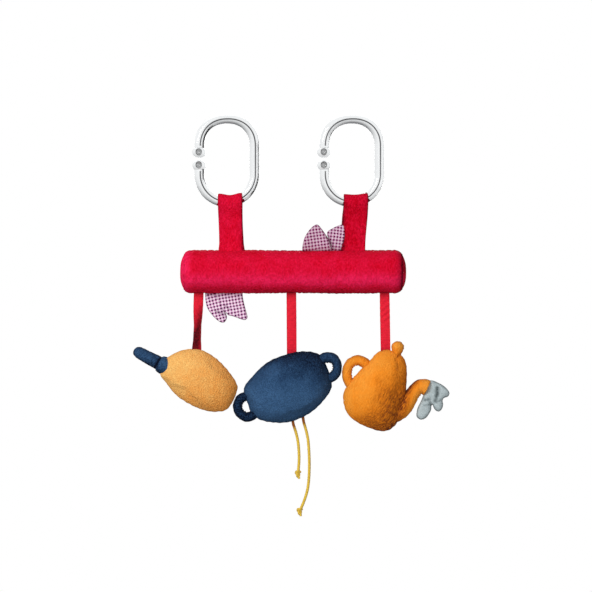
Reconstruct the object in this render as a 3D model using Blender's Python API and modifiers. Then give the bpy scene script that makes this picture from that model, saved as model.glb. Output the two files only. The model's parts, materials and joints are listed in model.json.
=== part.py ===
"""Pram toy bar, built the way the real one is sewn and clipped together.

A stuffed velour roll hangs by two strap loops from two clear plastic rings. Three stuffed kitchen
toys swing below it on woven ribbons: a frying pan, a cooking pot with two noodles hanging out of
it, and a teapot that pours a splash of water. Four gingham leaves are sewn into the roll's seams.

Metres, +Z up, and the front faces -Y. The origin is the inner top of the left ring, the spot that
rests on a pram's rail.
"""

import math
from collections import namedtuple

import bmesh
import bpy
from mathutils import Matrix, Vector

# Sizes are written in millimetres and turned into metres as each mesh is made.
MM = 0.001
FIT_GAP = 0.3
SEAM_GAP = 0.3

# Rings: a round wire bent to an upright oval, open on the left between two end balls.
RING_HALF_WIDTH = 24.45
RING_HEIGHT = 73.8
RING_ROUNDNESS = 2.25
WIRE_RADIUS = 3.7
RING_SPACING = 109.8
BALL_HALF_WIDTH = 6.0
BALL_HALF_HEIGHT = 4.8
BALL_OUTSET = 0.5
BALL_DEPTHS = (-26.2, -36.7)
DIMPLE_RADIUS = 2.4
DIMPLE_DEPTH = 3.0

# Straps: each loop goes round a ring's lowest wire and is sewn into the roll's top seam.
STRAP_WIDTH = 21.7
STRAP_WALL = 1.2
STRAP_LAYERS = 2.7
STRAP_OFFSETS = (2.6, 3.0)
STRAP_LEANS = (2.2, -2.3)
STRAP_LEAN_START = 9.0
LOOP_LENGTH = 17.0
LOOP_HOLE_LENGTH = 14.5

# Roll: a front and a back panel, two end discs and the stuffing.
ROLL_LENGTH = 199.0
ROLL_RADIUS = 18.6
ROLL_CENTRE = (57.4, -130.5)
ROLL_END_DEPTH = 8.8
ROLL_END_SQUARENESS = 3.0
END_SEAM_ANGLE = 57.0
END_SEAM_GAP_ANGLE = 3.4
VELOUR_THICKNESS = 1.2

# Ribbons: width, thickness, top end, and the toy's hang point below.
RIBBON_WIDTH = 8.4
RIBBON_THICKNESS = 1.0
RIBBON_TOPS = {"left": -25.0, "middle": 56.4, "right": 138.4}
HANG_POINTS = {"left": (-27.1, -198.4), "middle": (56.8, -202.2), "right": (139.4, -199.3)}
RIBBON_CLEAR = {"left": 0.5, "middle": 1.3, "right": 0.8}
RIBBON_NARROWING = {"left": 0.75, "middle": 1.0, "right": 1.0}

LEAF_THICKNESS = 1.6
LEAF_SEAM_SETBACK = 0.6
LEAF_FORWARD = 3.0

PLUSH_THICKNESS = 1.2
FILLING_SLACK = 0.6
CORD_RADIUS = 1.25
CORD_STEP = 6.25
CORD_TUCK = 0.5
KNOT_RADIUS = 2.6

# A stuffed form: the outline that its seam follows, seen from the front, the middle that it is
# drawn from, how far it swells to each side, and how full it is near the seam.
Form = namedtuple("Form", "outline centre half_depth fullness")

PAN = Form(
    outline=[(-25.5, -7.5), (-14.0, -1.7), (-3.0, 0.0), (8.0, -2.6), (19.5, -10.5), (29.5, -21.5),
             (35.9, -32.2), (34.6, -40.4), (30.8, -48.4), (25.3, -54.0), (12.0, -54.8), (-3.0, -50.0),
             (-17.5, -40.5), (-27.5, -28.8), (-32.0, -21.5), (-30.2, -13.0)],
    centre=(1.5, -28.0), half_depth=12.5, fullness=0.58)

POT = Form(
    outline=[(-16.5, -5.5), (-4.0, -1.0), (8.0, 1.3), (18.0, 1.0), (25.3, -2.0), (30.5, -11.5),
             (35.0, -24.0), (34.2, -32.5), (28.0, -41.0), (18.0, -51.0), (6.5, -57.2), (-6.0, -60.8),
             (-19.0, -60.6), (-30.0, -57.5), (-36.3, -51.0), (-39.0, -43.0), (-42.0, -34.0),
             (-41.0, -28.5), (-35.5, -21.5), (-26.0, -12.0)],
    centre=(-3.0, -29.0), half_depth=15.0, fullness=0.58)

TEAPOT = Form(
    outline=[(-7.5, -2.5), (0.0, 0.3), (8.0, -1.5), (15.3, -6.0), (18.3, -14.0), (18.3, -26.0),
             (17.0, -39.0), (14.0, -49.5), (11.0, -61.5), (5.3, -68.8), (-2.0, -71.5), (-12.0, -69.0),
             (-24.0, -64.0), (-32.5, -57.5), (-36.7, -48.0), (-37.0, -38.0), (-31.0, -28.0),
             (-20.5, -16.5), (-13.5, -9.5)],
    centre=(-9.0, -38.0), half_depth=14.5, fullness=0.58)

SPLASH = Form(
    outline=[(37.8, -27.4), (41.0, -26.8), (46.0, -28.6), (51.0, -31.6), (54.8, -35.0), (56.2, -38.0),
             (54.8, -41.0), (51.6, -42.2), (50.2, -44.5), (50.6, -47.5), (49.6, -51.5), (47.2, -54.2),
             (44.3, -53.4), (42.3, -50.8), (41.2, -48.0), (40.2, -49.5), (40.0, -53.0), (37.2, -57.8),
             (33.7, -60.8), (30.2, -61.2), (27.3, -58.4), (27.2, -54.6), (28.6, -49.8), (30.7, -45.5),
             (33.0, -40.4), (35.6, -33.4)],
    centre=(39.2, -40.7), half_depth=3.5, fullness=0.6)

# Limbs: the middle line of each, with its radius at every point, and its depth against its width.
Limb = namedtuple("Limb", "path radii flatness")

PAN_GRIP = Limb(
    path=[(-33.8, -12.1), (-41.0, -8.4), (-47.5, -4.9), (-51.0, -3.0), (-53.6, -1.7), (-54.8, -1.1)],
    radii=[5.7, 5.4, 5.1, 4.7, 3.1, 1.2], flatness=0.85)
PAN_COLLAR = Limb(
    path=[(-23.9, -17.3), (-28.8, -14.75), (-30.6, -13.8), (-32.3, -12.9), (-33.2, -12.4)],
    radii=[7.4, 7.5, 7.4, 7.0, 6.3], flatness=0.85)
POT_HANDLE_LEFT = Limb(
    path=[(-34.5, -38.0), (-40.5, -38.0), (-45.2, -40.3), (-47.6, -45.5), (-46.8, -50.8), (-43.1, -54.8),
          (-38.0, -56.2), (-31.5, -52.5)],
    radii=[3.7, 3.8, 3.9, 3.9, 3.9, 3.9, 3.9, 3.8], flatness=0.95)
POT_HANDLE_RIGHT = Limb(
    path=[(22.0, -8.0), (26.5, -4.5), (31.5, -3.0), (36.6, -3.8), (39.7, -7.8), (40.1, -13.0),
          (38.8, -18.0), (35.0, -21.8), (27.5, -23.0)],
    radii=[3.6, 3.7, 3.7, 3.6, 3.6, 3.6, 3.6, 3.7, 3.6], flatness=0.95)
TEAPOT_HANDLE = Limb(
    path=[(-25.0, -38.0), (-30.2, -31.5), (-33.4, -25.5), (-34.0, -19.0), (-32.4, -13.5), (-28.5, -10.0),
          (-23.3, -9.1), (-17.5, -12.2), (-12.0, -18.5)],
    radii=[3.9, 4.0, 4.0, 4.0, 4.0, 4.1, 4.2, 4.2, 4.0], flatness=0.95)
TEAPOT_SPOUT = Limb(
    path=[(5.0, -56.0), (14.0, -50.8), (19.6, -44.6), (23.2, -38.6), (26.6, -34.2), (30.8, -32.0),
          (34.9, -33.2)],
    radii=[9.6, 10.6, 9.7, 8.2, 7.1, 7.0, 7.5], flatness=0.78)
TEAPOT_KNOB_CENTRE = (10.4, 2.3)
TEAPOT_KNOB_RADIUS = 5.3

# The spout's mouth: its middle, and the way that the water leaves it.
MOUTH = (35.05, -33.25)
MOUTH_DIRECTION = (0.94, -0.34)
SPLASH_HINGE_GAP = 0.8

# Noodles: the route of each cord below the pot, from its exit to its knot.
NOODLE_SHORT = [(1.2, -61.0), (2.0, -63.0), (3.0, -66.0), (4.1, -69.5), (5.1, -73.5), (5.9, -77.5),
                (6.4, -81.5), (6.7, -85.5), (6.9, -89.5), (6.9, -93.0), (6.8, -96.5), (6.5, -100.0),
                (6.2, -103.8)]
NOODLE_LONG = [(10.2, -57.7), (11.0, -60.5), (12.3, -65.0), (13.6, -70.0), (14.7, -75.5), (15.3, -81.5),
               (15.7, -88.0), (15.9, -94.5), (15.9, -101.0), (15.7, -107.5), (15.2, -114.0),
               (14.3, -120.0), (12.7, -126.0), (10.6, -131.8), (8.4, -136.9)]

# Leaves: each outline runs from one end of its seam round the tip to the other end.
LEAVES = {
    "leaf_top_left": [(66.2, -111.3), (66.3, -107.5), (68.3, -100.0), (73.0, -92.9), (77.6, -89.2),
                      (80.5, -89.8), (85.0, -95.5), (89.3, -102.5), (91.9, -111.3)],
    "leaf_top_right": [(93.3, -111.3), (91.2, -103.8), (89.0, -96.3), (91.3, -93.0), (96.5, -90.4),
                       (101.0, -89.0), (103.3, -90.8), (103.6, -95.0), (102.6, -103.5), (99.5, -111.3)],
    "leaf_bottom_left": [(-19.5, -149.7), (-19.0, -156.5), (-17.2, -163.0), (-12.5, -169.5),
                         (-7.5, -174.0), (-3.8, -175.3), (-1.6, -174.0), (-0.3, -169.8),
                         (-6.0, -162.8), (-12.4, -149.7)],
    "leaf_bottom_right": [(-11.5, -149.7), (-5.1, -162.0), (0.8, -168.5), (5.0, -169.6),
                          (11.5, -172.0), (15.5, -172.9), (17.8, -171.0), (17.3, -167.5),
                          (15.5, -161.0), (13.8, -153.5), (13.5, -149.7)],
}

# Sound makers in the stuffing: radius and height of each, and where its middle is.
RATTLE = (9.0, 8.0, (0.0, -28.0))
SQUEAKER = (11.0, 8.0, (-3.0, -30.0))
BELL = (8.0, 10.0, (-8.0, -42.0))

# Sharp edges that are rounded: width of each bevel.
LEAF_EDGE = 0.45
RIBBON_EDGE = 0.35
CAPSULE_EDGE = 1.5

# Mesh fineness: how many steps round each shape, along it or between two points of its outline.
FORM_MERIDIANS = 24
FORM_RINGS = 10
SPLASH_MERIDIANS = 40
SPLASH_RINGS = 6
OUTLINE_STEPS = 6
LIMB_STEPS = 2
LEAF_STEPS = 2
ROLL_STEPS = 14
END_DISC_STEPS = 24
FILLING_STEPS = 16
CORNER_STEPS = 3
DOME_STEPS = 5


def clear_scene():
    """Removes whatever objects the file already holds."""
    for obj in list(bpy.data.objects):
        bpy.data.objects.remove(obj, do_unlink=True)


def new_collection(name):
    """A collection linked to the scene."""
    collection = bpy.data.collections.new(name)
    bpy.context.scene.collection.children.link(collection)
    return collection


def linear(channel):
    """A 0 to 255 display value as a linear colour value."""
    value = channel / 255
    if value <= 0.04045:
        return value / 12.92
    return ((value + 0.055) / 1.055) ** 2.4


def finish(name, rgb, roughness, metallic=0.0, alpha=1.0):
    """A Principled material of one colour."""
    material = bpy.data.materials.new(name)
    material.use_nodes = True
    shader = material.node_tree.nodes["Principled BSDF"]
    shader.inputs["Base Color"].default_value = (*[linear(c) for c in rgb], 1.0)
    shader.inputs["Roughness"].default_value = roughness
    shader.inputs["Metallic"].default_value = metallic
    shader.inputs["Alpha"].default_value = alpha
    return material


clear_scene()
PARTS = new_collection("pram_toy_bar")
CUTTERS = new_collection("cutters")
FINISHES = {
    "clear": finish("clear_plastic", (232, 236, 238), 0.1, alpha=0.4),
    "crimson": finish("crimson_velour", (205, 15, 50), 0.9),
    "ribbon": finish("red_ribbon", (220, 30, 50), 0.7),
    "gingham": finish("purple_gingham", (205, 150, 195), 0.9),
    "apricot": finish("apricot_plush", (240, 160, 75), 0.95),
    "navy": finish("navy_fleece", (40, 72, 112), 0.95),
    "orange": finish("orange_plush", (246, 142, 38), 0.95),
    "water": finish("pale_water_cloth", (165, 180, 186), 0.8),
    "yellow": finish("yellow_cord", (235, 180, 50), 0.8),
    "filling": finish("polyester_filling", (240, 240, 235), 1.0),
    "capsule": finish("white_plastic", (235, 235, 230), 0.4),
    "brass": finish("bell_brass", (200, 170, 90), 0.3, metallic=0.9),
}


def empty(name, location, parent=None):
    """A pivot at a place given in its parent's frame, in millimetres."""
    pivot = bpy.data.objects.new(name, None)
    pivot.empty_display_size = 5 * MM
    pivot.location = Vector(location) * MM
    pivot.parent = parent
    PARTS.objects.link(pivot)
    return pivot


def part(name, mesh, colour, pivot):
    """An object for one piece, with its origin on its pivot."""
    obj = bpy.data.objects.new(name, mesh)
    obj.parent = pivot
    mesh.materials.append(FINISHES[colour])
    PARTS.objects.link(obj)
    return obj


def cutter(name, mesh, pivot):
    """An object that only cuts others."""
    obj = bpy.data.objects.new(name, mesh)
    obj.parent = pivot
    obj.hide_render = True
    obj.display_type = "WIRE"
    CUTTERS.objects.link(obj)
    return obj


def boolean(obj, tool, operation="DIFFERENCE"):
    """Cuts or joins obj with another object."""
    modifier = obj.modifiers.new(tool.name, "BOOLEAN")
    modifier.operation = operation
    modifier.object = tool
    modifier.solver = "EXACT"


def soften(obj, width, segments=1):
    """Rounds an object's sharp edges by a width in millimetres."""
    bevel = obj.modifiers.new("soft_edges", "BEVEL")
    bevel.width = width * MM
    bevel.segments = segments
    bevel.limit_method = "ANGLE"
    bevel.angle_limit = math.radians(50)


def smooth_shading(mesh):
    """Smooth faces with sharp creases only at real edges."""
    mesh.shade_smooth()
    mesh.set_sharp_from_angle(angle=math.radians(40))


def curve_point(a, b, c, d, t):
    """A point between b and c on the Catmull-Rom curve through a, b, c and d."""
    values = []
    for p, q, r, s in zip(a, b, c, d):
        values.append(0.5 * (2 * q + (r - p) * t + (2 * p - 5 * q + 4 * r - s) * t ** 2
                             + (3 * q - p - 3 * r + s) * t ** 3))
    return tuple(values)


def smooth_loop(points, steps):
    """Points on a closed smooth curve through the given points."""
    count = len(points)
    result = []
    for i in range(count):
        corners = [points[(i + k) % count] for k in (-1, 0, 1, 2)]
        result += [curve_point(*corners, t / steps) for t in range(steps)]
    return result


def smooth_path(points, steps):
    """Points on an open smooth curve through the given points."""
    last = len(points) - 1
    result = []
    for i in range(last):
        corners = [points[min(max(i + k, 0), last)] for k in (-1, 0, 1, 2)]
        result += [curve_point(*corners, t / steps) for t in range(steps)]
    return result + [tuple(points[-1])]


def even_path(points, step):
    """Points a fixed distance apart along a smooth curve through the given points."""
    dense = [Vector(p) for p in smooth_path(points, 12)]
    lengths = [0.0]
    for a, b in zip(dense, dense[1:]):
        lengths.append(lengths[-1] + (b - a).length)
    count = max(2, round(lengths[-1] / step))
    result = []
    k = 0
    for i in range(count + 1):
        target = lengths[-1] * i / count
        while k < len(dense) - 2 and lengths[k + 1] < target:
            k += 1
        share = (target - lengths[k]) / (lengths[k + 1] - lengths[k])
        result.append(tuple(dense[k].lerp(dense[k + 1], min(share, 1.0))))
    return result


def reach(loop, centre, angle):
    """How far a closed outline lies from its centre in one direction."""
    direction = Vector((math.cos(angle), math.sin(angle)))
    far = 0.0
    for i, start in enumerate(loop):
        a = Vector(start) - Vector(centre)
        edge = Vector(loop[(i + 1) % len(loop)]) - Vector(start)
        cross = direction.x * edge.y - direction.y * edge.x
        if abs(cross) < 1e-9:
            continue
        distance = (a.x * edge.y - a.y * edge.x) / cross
        share = (a.x * direction.y - a.y * direction.x) / cross
        if 0 <= share <= 1 and distance > far:
            far = distance
    return far


def stuffed_mesh(name, form, grow=0.0, meridians=FORM_MERIDIANS, rings=FORM_RINGS):
    """A ball stretched so that its equator follows the form's seam outline, swelling to both sides."""
    loop = smooth_loop(form.outline, OUTLINE_STEPS)
    bm = bmesh.new()
    bmesh.ops.create_uvsphere(bm, u_segments=meridians, v_segments=rings, radius=1.0)
    for vert in bm.verts:
        angle = math.atan2(vert.co.y, vert.co.x)
        spread = math.hypot(vert.co.x, vert.co.y)
        bulge = math.copysign(abs(vert.co.z) ** (2 * form.fullness), vert.co.z)
        radius = (reach(loop, form.centre, angle) + grow) * spread
        x = form.centre[0] + radius * math.cos(angle)
        z = form.centre[1] + radius * math.sin(angle)
        vert.co = Vector((x, -(form.half_depth + grow) * bulge, z)) * MM
    return mesh_from(name, bm)


def mesh_from(name, bm):
    """A mesh from a bmesh, shaded smooth."""
    mesh = bpy.data.meshes.new(name)
    bm.to_mesh(mesh)
    bm.free()
    smooth_shading(mesh)
    return mesh


def halve(mesh, side):
    """Keeps the front (side -1) or back (side 1) half of a form, closed flat beside the seam."""
    bm = bmesh.new()
    bm.from_mesh(mesh)
    geometry = bm.verts[:] + bm.edges[:] + bm.faces[:]
    plane = (0, side * SEAM_GAP / 2 * MM, 0)
    cut = bmesh.ops.bisect_plane(bm, geom=geometry, plane_co=plane, plane_no=(0, -side, 0),
                                 clear_outer=True)
    rim = [e for e in cut["geom_cut"] if isinstance(e, bmesh.types.BMEdge)]
    bmesh.ops.edgeloop_fill(bm, edges=rim)
    bmesh.ops.recalc_face_normals(bm, faces=bm.faces[:])
    bm.to_mesh(mesh)
    bm.free()
    smooth_shading(mesh)


def curve_mesh(name, curve):
    """A curve turned into a mesh with its caps welded on."""
    holder = bpy.data.objects.new(name + "_curve", curve)
    bpy.context.scene.collection.objects.link(holder)
    graph = bpy.context.evaluated_depsgraph_get()
    mesh = bpy.data.meshes.new_from_object(holder.evaluated_get(graph))
    bpy.data.objects.remove(holder, do_unlink=True)
    bm = bmesh.new()
    bm.from_mesh(mesh)
    bmesh.ops.remove_doubles(bm, verts=bm.verts[:], dist=0.001 * MM)
    bmesh.ops.recalc_face_normals(bm, faces=bm.faces[:])
    bm.to_mesh(mesh)
    bm.free()
    mesh.name = name
    mesh.materials.clear()
    smooth_shading(mesh)
    return mesh


def tube_mesh(name, points, radii, resolution=2):
    """A round tube along (x, z) points with a radius at each, its ends capped."""
    curve = bpy.data.curves.new(name, "CURVE")
    curve.dimensions = "3D"
    curve.bevel_depth = MM
    curve.bevel_resolution = resolution
    curve.use_fill_caps = True
    spline = curve.splines.new("POLY")
    spline.points.add(len(points) - 1)
    for point, (x, z), radius in zip(spline.points, points, radii):
        point.co = (x * MM, 0, z * MM, 1)
        point.radius = radius
    return curve_mesh(name, curve)


def limb_mesh(name, limb):
    """A stuffed limb: a tube that swells and tapers, a little flatter than it is wide."""
    stations = [(*point, radius) for point, radius in zip(limb.path, limb.radii)]
    smooth = smooth_path(stations, LIMB_STEPS)
    mesh = tube_mesh(name, [s[:2] for s in smooth], [s[2] for s in smooth])
    for vert in mesh.vertices:
        vert.co.y *= limb.flatness
    return mesh


def sheet_mesh(name, outlines, thickness):
    """Flat outlines, the first with any others as holes, drawn in X and Y and given a thickness in Z."""
    curve = bpy.data.curves.new(name, "CURVE")
    curve.dimensions = "2D"
    curve.fill_mode = "BOTH"
    curve.extrude = thickness / 2 * MM
    for outline in outlines:
        spline = curve.splines.new("POLY")
        spline.points.add(len(outline) - 1)
        spline.use_cyclic_u = True
        for point, (x, y) in zip(spline.points, outline):
            point.co = (x * MM, y * MM, 0, 1)
    return curve_mesh(name, curve)


def superellipse(half_width, half_height, power, angle):
    """A point on a rounded rectangle-like oval."""
    cosine = math.cos(angle)
    sine = math.sin(angle)
    x = half_width * math.copysign(abs(cosine) ** (2 / power), cosine)
    z = half_height * math.copysign(abs(sine) ** (2 / power), sine)
    return x, z


def ring_path():
    """The ring wire's middle line, from the upper ball over the top and round to the lower ball."""
    top_centre = WIRE_RADIUS - RING_HALF_WIDTH
    bottom_centre = WIRE_RADIUS - RING_HEIGHT + RING_HALF_WIDTH
    half = RING_HALF_WIDTH
    arc_steps = 16
    path = [(-half, BALL_DEPTHS[0])]
    for i in range(arc_steps + 1):
        x, z = superellipse(half, half, RING_ROUNDNESS, math.pi * (1 - i / arc_steps))
        path.append((x, top_centre + z))
    for i in range(arc_steps + 1):
        x, z = superellipse(half, half, RING_ROUNDNESS, -math.pi * i / arc_steps)
        path.append((x, bottom_centre + z))
    path.append((-RING_HALF_WIDTH, BALL_DEPTHS[1]))
    return path


def ring_rise(offset):
    """How far the wire's middle line has risen above its lowest point, beside the ring's middle."""
    share = abs(offset) / RING_HALF_WIDTH
    return RING_HALF_WIDTH * (1 - (1 - share ** RING_ROUNDNESS) ** (1 / RING_ROUNDNESS))


def wire_slope(offset):
    """The wire's slope angle beside the ring's middle."""
    step = 0.1
    return math.atan((ring_rise(offset + step) - ring_rise(offset - step)) / (2 * step))


LOWEST_WIRE = WIRE_RADIUS - RING_HEIGHT
STRAP_REACH = max(STRAP_OFFSETS) + STRAP_WIDTH / 2
SWING_HEIGHT = LOWEST_WIRE + ring_rise(STRAP_REACH) / 2
LOOP_RADIUS = ring_rise(STRAP_REACH) / 2 + WIRE_RADIUS / math.cos(wire_slope(STRAP_REACH)) + FIT_GAP


def make_ring(name, pivot):
    """One clear ring: the bent wire with a dimpled ball moulded on each end."""
    path = ring_path()
    ring = part(name, tube_mesh(name, path, [WIRE_RADIUS] * len(path), resolution=3), "clear", pivot)
    for label, depth in zip(("upper", "lower"), BALL_DEPTHS):
        centre = Vector((-RING_HALF_WIDTH - BALL_OUTSET, 0, depth)) * MM
        bm = bmesh.new()
        bmesh.ops.create_uvsphere(bm, u_segments=16, v_segments=10, radius=1.0)
        size = Vector((BALL_HALF_WIDTH, BALL_HALF_WIDTH, BALL_HALF_HEIGHT)) * MM
        bmesh.ops.scale(bm, vec=size, verts=bm.verts[:])
        bmesh.ops.translate(bm, vec=centre, verts=bm.verts[:])
        boolean(ring, cutter(f"{name}_{label}_ball", mesh_from(f"{name}_{label}_ball", bm), pivot), "UNION")
        front = centre + Vector((0, -BALL_HALF_WIDTH, 0)) * MM
        drill = round_cutter(f"{name}_{label}_dimple", front, DIMPLE_RADIUS, 2 * DIMPLE_DEPTH, pivot)
        boolean(ring, drill)


def cylinder_mesh(name, centre, radius, length, sides=16):
    """A cylinder that lies along Y; centre in metres, radius and length in millimetres."""
    bm = bmesh.new()
    bmesh.ops.create_cone(bm, cap_ends=True, segments=sides, radius1=radius * MM, radius2=radius * MM,
                          depth=length * MM, matrix=Matrix.Rotation(math.radians(90), 4, "X"))
    bmesh.ops.translate(bm, vec=centre, verts=bm.verts[:])
    return mesh_from(name, bm)


def round_cutter(name, centre, radius, length, pivot):
    """A drill along Y."""
    return cutter(name, cylinder_mesh(name, centre, radius, length), pivot)


def loop_half_width(depth, radius, end_width, length):
    """Half the strap loop's width at a depth below the swing line."""
    if depth < 0:
        return math.sqrt(max(radius ** 2 - depth ** 2, 0))
    ease = 0.5 * (1 + math.cos(math.pi * min(depth / length, 1)))
    return end_width + (radius - end_width) * ease


def loop_outline(radius, end_width, length, tail):
    """The side view of a strap loop: round over the wire, drawn together below, then straight."""
    arc_steps = 12
    side_steps = 8
    right = []
    for i in range(arc_steps + 1):
        angle = math.pi / 2 * (1 - i / arc_steps)
        right.append((radius * math.cos(angle), radius * math.sin(angle)))
    for i in range(1, side_steps + 1):
        depth = length * i / side_steps
        right.append((loop_half_width(depth, radius, end_width, length), -depth))
    if tail > length:
        right.append((end_width, -tail))
    left = [(-y, z) for y, z in reversed(right) if y > 1e-6]
    return right + left


def make_strap(name, ring_x, offset, lean, pivot):
    """One strap loop, sewn below into the roll's top seam, leaning a little to one side."""
    tail = SWING_HEIGHT - (ROLL_CENTRE[1] + ROLL_RADIUS) - FIT_GAP
    outer = loop_outline(LOOP_RADIUS + STRAP_WALL, STRAP_LAYERS / 2, LOOP_LENGTH, tail)
    hole = loop_outline(LOOP_RADIUS, 0.0, LOOP_HOLE_LENGTH, 0.0)
    mesh = sheet_mesh(name, [outer, hole], STRAP_WIDTH)
    for vert in mesh.vertices:
        across, up, along = vert.co
        share = max(-up / MM - STRAP_LEAN_START, 0) / (tail - STRAP_LEAN_START)
        vert.co = (along + (ring_x + offset + lean * share) * MM, across, up)
    part(name, mesh, "crimson", pivot)


def roll_profile(inset, first_angle, last_angle, steps):
    """Radius and distance from the middle along the roll's rounded end, between two angles."""
    shoulder = ROLL_LENGTH / 2 - ROLL_END_DEPTH - inset
    points = []
    for i in range(steps + 1):
        angle = math.pi / 2 - math.radians(first_angle + (last_angle - first_angle) * i / steps)
        radius, along = superellipse(ROLL_RADIUS - inset, ROLL_END_DEPTH, ROLL_END_SQUARENESS, angle)
        points.append((radius, shoulder + along))
    return points


def turned(name, profile, colour, pivot, start, sweep, steps, wall=0.0):
    """A (radius, distance) profile turned about the roll's axis, as a solid or as a shell."""
    bm = bmesh.new()
    verts = [bm.verts.new((radius * MM, 0, along * MM)) for radius, along in profile]
    for a, b in zip(verts, verts[1:]):
        bm.edges.new((a, b))
    obj = part(name, mesh_from(name, bm), colour, pivot)
    turn = Matrix.Rotation(math.radians(90), 4, "Y") @ Matrix.Rotation(math.radians(start), 4, "Z")
    obj.rotation_euler = turn.to_euler()
    screw = obj.modifiers.new("turned", "SCREW")
    screw.angle = math.radians(sweep)
    screw.steps = steps
    screw.render_steps = steps
    screw.use_merge_vertices = True
    screw.merge_threshold = 0.00001
    if wall:
        shell = obj.modifiers.new("cloth", "SOLIDIFY")
        shell.thickness = wall * MM
        shell.offset = -1


def make_roll(pivot):
    """The stuffed roll: two half-round panels joined by seams along the top and the underside."""
    centre = empty("roll_middle", (ROLL_CENTRE[0], 0, ROLL_CENTRE[1] - SWING_HEIGHT), pivot)
    corner = roll_profile(0.0, 90, END_SEAM_ANGLE, CORNER_STEPS)
    wall_profile = list(reversed(corner)) + [(radius, -along) for radius, along in corner]
    seam_angle = math.degrees(SEAM_GAP / ROLL_RADIUS)
    for name, start in (("bar_cover_back", 0), ("bar_cover_front", 180)):
        turned(name, wall_profile, "crimson", centre, start + seam_angle / 2, 180 - seam_angle,
               ROLL_STEPS, wall=VELOUR_THICKNESS)
    disc = list(reversed(roll_profile(0.0, END_SEAM_ANGLE - END_SEAM_GAP_ANGLE, 0, DOME_STEPS)))
    for name, side in (("bar_end_right", 1), ("bar_end_left", -1)):
        profile = disc if side > 0 else [(radius, -along) for radius, along in reversed(disc)]
        turned(name, profile, "crimson", centre, 0, 360, END_DISC_STEPS, wall=VELOUR_THICKNESS)
    inset = VELOUR_THICKNESS + FIT_GAP
    end = roll_profile(inset, 90, 0, DOME_STEPS)
    core = list(reversed(end)) + [(radius, -along) for radius, along in end]
    turned("bar_filling", core, "filling", centre, 0, 360, FILLING_STEPS)


def make_leaf(name, outline, forward, pivot):
    """One gingham leaf: a flat doubled cloth tab hinged along its seam."""
    up = 1 if forward else -1
    at = ((outline[0][0] + outline[-1][0]) / 2, outline[0][1] + up * LEAF_SEAM_SETBACK)
    hinge = empty(name + "_hinge", (at[0], -forward, at[1] - SWING_HEIGHT), pivot)
    local = [(x - at[0], z - at[1]) for x, z in smooth_path(outline, LEAF_STEPS)]
    mesh = sheet_mesh(name, [local], LEAF_THICKNESS)
    mesh.transform(Matrix.Rotation(math.radians(90), 4, "X"))
    soften(part(name, mesh, "gingham", hinge), LEAF_EDGE)


def make_ribbon(side, pivot):
    """One woven ribbon, and the pivots at its seam under the roll and at the toy's top."""
    top_x = RIBBON_TOPS[side]
    hang_x, hang_z = HANG_POINTS[side]
    seam_z = ROLL_CENTRE[1] - ROLL_RADIUS - FIT_GAP - RIBBON_THICKNESS / 2
    swing = empty(f"ribbon_{side}_swing", (top_x, 0, seam_z - SWING_HEIGHT), pivot)
    foot = (hang_x - top_x, hang_z + RIBBON_CLEAR[side] - seam_z)
    half_top = RIBBON_WIDTH / 2
    half_foot = half_top * RIBBON_NARROWING[side]
    crown = RIBBON_THICKNESS / 2
    outline = [(-half_top, crown), (half_top, crown), (foot[0] + half_foot, foot[1]),
               (foot[0] - half_foot, foot[1])]
    mesh = sheet_mesh(f"ribbon_{side}", [outline], RIBBON_THICKNESS)
    mesh.transform(Matrix.Rotation(math.radians(90), 4, "X"))
    soften(part(f"ribbon_{side}", mesh, "ribbon", swing), RIBBON_EDGE)
    return empty(f"ribbon_{side}_twist", (hang_x - top_x, 0, hang_z - seam_z), swing)


def make_stuffed_body(name, form, colour, maker, maker_name, maker_colour, pivot):
    """A toy's body: front and back panels round the filling, with a sound maker in its pocket."""
    for label, side in (("front", -1), ("back", 1)):
        mesh = stuffed_mesh(f"{name}_{label}", form)
        halve(mesh, side)
        panel = part(f"{name}_{label}", mesh, colour, pivot)
        hollow = stuffed_mesh(f"{name}_{label}_hollow", form, -PLUSH_THICKNESS)
        boolean(panel, cutter(f"{name}_{label}_hollow", hollow, pivot))
    inset = -(PLUSH_THICKNESS + FILLING_SLACK)
    filling = part(f"{name}_filling", stuffed_mesh(f"{name}_filling", form, inset), "filling", pivot)
    radius, height, (x, z) = maker
    pocket_length = height / 2 + FIT_GAP + 2 * form.half_depth
    pocket_middle = Vector((x, pocket_length / 2 - height / 2 - FIT_GAP, z)) * MM
    boolean(filling, round_cutter(f"{name}_pocket", pocket_middle, radius + FIT_GAP, pocket_length, pivot))
    capsule_mesh = cylinder_mesh(maker_name, Vector((x, 0, z)) * MM, radius, height)
    soften(part(maker_name, capsule_mesh, maker_colour, pivot), CAPSULE_EDGE, 2)
    return cutter(f"{name}_clearance", stuffed_mesh(f"{name}_clearance", form, FIT_GAP), pivot)


def make_limb(name, limb, colour, pivot, clearance):
    """A limb sewn onto a body: it stops short of it by the fit gap."""
    boolean(part(name, limb_mesh(name, limb), colour, pivot), clearance)


def make_pan(pivot):
    """The frying pan: body, collar and grip."""
    clearance = make_stuffed_body("pan", PAN, "apricot", RATTLE, "pan_rattle", "capsule", pivot)
    make_limb("pan_collar", PAN_COLLAR, "navy", pivot, clearance)
    part("pan_grip", limb_mesh("pan_grip", PAN_GRIP), "navy", pivot)


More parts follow.
